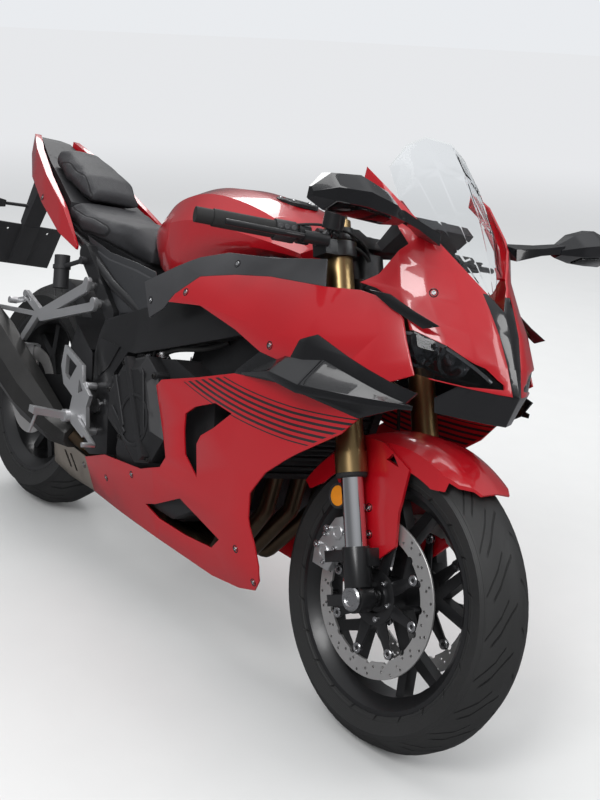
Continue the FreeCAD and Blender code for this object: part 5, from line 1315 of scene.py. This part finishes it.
@dataclass
class EngineTrim(Assembly):
    """Cover screws, raised ridges, the filler cap, hoses and the intake bells behind the frame."""

    cover: tuple[Flat, ...] = ((614, 550), (752, 552), (790, 356), (655, 372), (566, 469))
    middle: Flat = (700.0, 460.0)
    inset: float = 0.93
    clutch_y: float = -202.0
    alternator: Point = (850.0, 183.0, 430.0)
    alternator_circle: float = 57.0

    def build(self) -> None:
        """Builds the engine's small pieces."""
        self.screws()
        self.ridges()
        self.filler()
        self.hoses()
        self.intakes()

    def screws(self) -> None:
        """Puts screws on the covers' bosses."""
        x, z = self.middle
        spots = [(x + self.inset * (a - x), self.clutch_y, z + self.inset * (b - z)) for a, b in self.cover]
        places = [(spot, Side.RIGHT.out) for spot in spots]
        x, y, z = self.alternator
        places += [((x + dx, y, z + dz), Side.LEFT.out) for dx, dz in circle(6, self.alternator_circle)]
        self.put("cover_screws", "dark_steel", Body.CHASSIS, self.shop.screw(6.0, 5.0, 18), places)

    def ridges(self) -> None:
        """Models three slanted ridges and an arc on the clutch cover."""
        lines = (((604, 506), (618, 514), (690, 414), (680, 402)),
                 ((716, 556), (728, 548), (778, 420), (766, 410)),
                 ((612, 436), (626, 444), (700, 402), (694, 392)))
        ridges = [self.shop.plate([(x, -213.5, z) for x, z in line], Side.RIGHT.out * 7.0, 2.4, 3)
                  for line in lines]
        arc = self.shop.lathe([(52, -1), (60, -1), (60, 3), (57, 4.5), (54, 4.5), (52, 3), (52, -1)], 48)
        ridges.append(self.shop.copies(arc, [((722, -215.0, 436), Side.RIGHT.out)]))
        self.add("cover_ridges", "engine_black", Body.CHASSIS, *ridges)

    def filler(self) -> None:
        """Models the oil filler cap."""
        cap = self.shop.lathe([(0, 0), (17, 0), (17, 7), (15, 9), (6, 9), (5, 12), (0, 12)], 28)
        grip = self.shop.plate([(-13, -3, 9), (13, -3, 9), (13, 3, 9), (-13, 3, 9)], UP * 7, 1.2)
        cap = self.shop.joined([cap, grip])
        self.put("oil_filler", "black_plastic", Body.CHASSIS, cap, [((868, -165, 330), Side.RIGHT.out)])

    def hoses(self) -> None:
        """Leads coolant hoses and clamps from the radiator to the engine."""
        runs = (
            ((1084, -128, 460), (1060, -150, 440), (1010, -158, 430), (950, -150, 420), (925, -140, 400)),
            ((1104, 120, 690), (1070, 122, 712), (1020, 110, 716), (985, 92, 712)),
            ((700, -150, 590), (740, -158, 610), (800, -150, 622), (850, -128, 640), (872, -112, 660)),
            ((640, -140, 560), (668, -170, 596), (720, -160, 640), (800, -140, 668)))
        hoses = [self.shop.hose(points, radius) for points, radius in zip(runs, (14, 14, 6, 4.5))]
        self.add("engine_hoses", "rubber", Body.CHASSIS, *hoses)
        clamp = self.shop.lathe([(14.2, -4), (16, -4), (16, 4), (14.2, 4), (14.2, -4)], 28)
        places = [((1066, -146, 446), Vector((-0.8, -0.4, -0.3))),
                  ((946, -149, 418), Vector((-0.9, 0.2, -0.4))), ((1078, 121, 706), Vector((-0.8, 0, 0.5)))]
        self.put("hose_clamps", "bright_steel", Body.CHASSIS, clamp, places)

    def intakes(self) -> None:
        """Models four intake bells over the cylinders and a fuel rail across them."""
        bell = self.shop.lathe([(18, -46), (24, -46), (24, -30), (21, -28), (21, 8), (26, 10), (26, 20),
                                (30, 24), (28, 25), (22, 18), (18, 12), (18, -46)], 28)
        way = Vector((-0.55, 0, 0.83)).normalized()
        rail = self.shop.hose([(818, y, 690) for y in (-98, 0, 98)], 8)
        self.put("intake_bells", "engine_black", Body.CHASSIS, bell,
                 [((842, y, 716), way) for y in (-72, -25, 25, 72)])
        self.add("fuel_rail", "bright_steel", Body.CHASSIS, rail)


@dataclass
class MirrorTrim(Assembly):
    """Mirror glass behind and a smoked turn lamp under each housing."""

    stations: tuple[tuple[float, ...], ...] = ((262, 1420, 1014.6, 28.3, 28.5), (320, 1415, 1023, 32, 36),
                                               (370, 1404, 1021.2, 26.5, 31.5))

    def build(self) -> None:
        """Builds both sides."""
        glasses, lenses = [], []
        for side in Side:
            low, top, inner, outer = [], [], [], []
            for y, x, z, deep, high in self.stations:
                low.append((x - deep - 1.0, side * y, z - 0.66 * high))
                top.insert(0, (x - deep - 1.0, side * y, z + 0.76 * high))
                front = Vector((x + deep, side * y, z - 0.35 * high))
                under = Vector((x - 0.2 * deep, side * y, z - high))
                inner.append(front.lerp(under, 0.14))
                outer.insert(0, front.lerp(under, 0.86))
            glasses.append(self.shop.plate(low + top, Vector((-1.4, 0, 0))))
            lenses.append(self.shop.plate(inner + outer, Vector((1.6, 0, -2.6)), 0.8))
        self.add("mirror_glasses", "mirror_glass", Body.CHASSIS, *glasses)
        self.add("turn_lenses", "smoked_lens", Body.CHASSIS, *lenses)


@dataclass
class NoseFins(Assembly):
    """The dark strip between each side panel and the nose."""

    outline: tuple[Flat, ...] = ((1352, 868), (1394, 870), (1447, 852), (1500, 838), (1470, 826),
                                 (1403, 845))
    start: Flat = (1352.0, 187.0)
    length: float = 148.0
    taper: float = 44.0

    def build(self) -> None:
        """Builds both strips."""
        strips = []
        start, y = self.start
        for side in Side:
            corners = [(x, side * (y - self.taper * (x - start) / self.length), z) for x, z in self.outline]
            strips.append(self.shop.plate(corners, Vector((1.0, side * 3.0, 0)), 0.8))
        self.add("nose_fins", "black_gloss", Body.CHASSIS, *strips)


@dataclass
class Stage(Assembly):
    """A pale floor, soft lamps and the photograph's camera, in metres."""

    floor_size: float = 160.0
    eye: Point = (2.902, -1.386, 1.339)
    yaw: float = math.radians(141.42)
    pitch: float = math.radians(-17.75)
    roll: float = math.radians(3.07)
    lens: float = 52.92
    seen: float = 0.88
    diffuse: float = 0.84
    gloss: tuple[float, ...] = (0.20, 0.75, 0.14, 0.56)
    tone: tuple[float, ...] = (0.93, 0.95, 0.98, 1.0)
    lamps: tuple[tuple[str, Point, float, float], ...] = (
        ("key", (2.0, -3.2, 3.8), 1.6, 85.0), ("fill", (3.8, 2.6, 2.8), 2.0, 45.0),
        ("back", (-3.2, 1.8, 3.4), 2.0, 55.0), ("top", (0.0, 0.0, 4.6), 2.4, 45.0))

    def build(self, ground: Vector) -> None:
        """Sets the stage.

        Args:
            ground: the point under the upright rear axle, in the row frame.
        """
        self.floor()
        self.light()
        self.world()
        self.camera(ground)

    def floor(self) -> None:
        """Lays a floor that is pale to the eye and darker in reflections."""
        self.shop.clear()
        bpy.ops.mesh.primitive_plane_add(size=self.floor_size)
        floor = bpy.context.object
        floor.name = "floor"
        bpy.ops.object.mode_set(mode="EDIT")
        bpy.ops.mesh.subdivide(number_cuts=4)
        bpy.ops.object.mode_set(mode="OBJECT")
        floor.data.materials.append(self.shop.materials["floor_grey"])

    def light(self) -> None:
        """Hangs soft area lamps round the bike."""
        for name, place, size, power in self.lamps:
            data = bpy.data.lights.new(name, "AREA")
            data.energy = power
            data.size = size
            lamp = bpy.data.objects.new(name, data)
            lamp.location = place
            lamp.rotation_euler = (UP * 0.5 - Vector(place)).to_track_quat("-Z", "Y").to_euler()
            bpy.context.scene.collection.objects.link(lamp)

    def world(self) -> None:
        """Fills the surroundings with pale light, and with a darker room under a ceiling for gloss."""
        world = bpy.data.worlds.new("studio")
        bpy.context.scene.world = world
        world.use_nodes = True
        world.node_tree.nodes.clear()
        nodes = Nodes(world.node_tree)
        seen = nodes.ray("Camera").most(nodes.ray("Transmission")) * self.seen
        ceiling = nodes.split(nodes.place("Generated"))[2].ramp(*self.gloss)
        lit = nodes.ray("Diffuse") * self.diffuse + nodes.ray("Glossy") * ceiling
        back = nodes.add("ShaderNodeBackground", {"Color": self.tone, "Strength": seen.most(lit)})
        nodes.add("ShaderNodeOutputWorld", {"Surface": back.outputs[0]})

    def camera(self, ground: Vector) -> None:
        """Places the camera as it was fitted to the photograph."""
        ahead = Vector((math.cos(self.yaw) * math.cos(self.pitch),
                        math.sin(self.yaw) * math.cos(self.pitch), math.sin(self.pitch)))
        right = ahead.cross(UP).normalized()
        up = right.cross(ahead)
        c, s = math.cos(self.roll), math.sin(self.roll)
        turn = Matrix((right * c + up * s, up * c - right * s, -ahead)).transposed().to_4x4()
        data = bpy.data.cameras.new("photo")
        data.lens = self.lens
        data.sensor_width = 36.0
        data.clip_end = 100.0
        camera = bpy.data.objects.new("photo", data)
        camera.matrix_world = Matrix.Translation(Vector(self.eye) + ground) @ turn
        bpy.context.scene.collection.objects.link(camera)
        bpy.context.scene.camera = camera


def main() -> None:
    """Builds the bike's looks and its stage."""
    logging.basicConfig(level=logging.INFO, format="%(name)s %(message)s")
    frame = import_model()
    bpy.context.scene.view_settings.view_transform = "Standard"
    axle = Vector(next(joint for joint in frame["joints"] if joint["name"] == "rear_wheel_spin")["pos_m"])
    space = Space(axle)
    group = surface_group()
    materials = {finish.name: finish.build(group, space.back.translation) for finish in FINISHES}
    shop = Shop(space, materials, frame["nodes"])
    for kind in (Solids, FrontBrakes, ForkTrim, Hubs, DriveChain, Cockpit, NoseLamps, TankFittings,
                 PanelScrews, SeatCovers, CaliperTrim, EngineTrim, MirrorTrim, NoseFins, Pads):
        kind(shop).build()
    Stage(shop).build(Vector((axle.x, axle.y - REAR_AXLE_Z * MM * math.sin(LEAN), 0.0)))


if __name__ == "__main__":
    main()
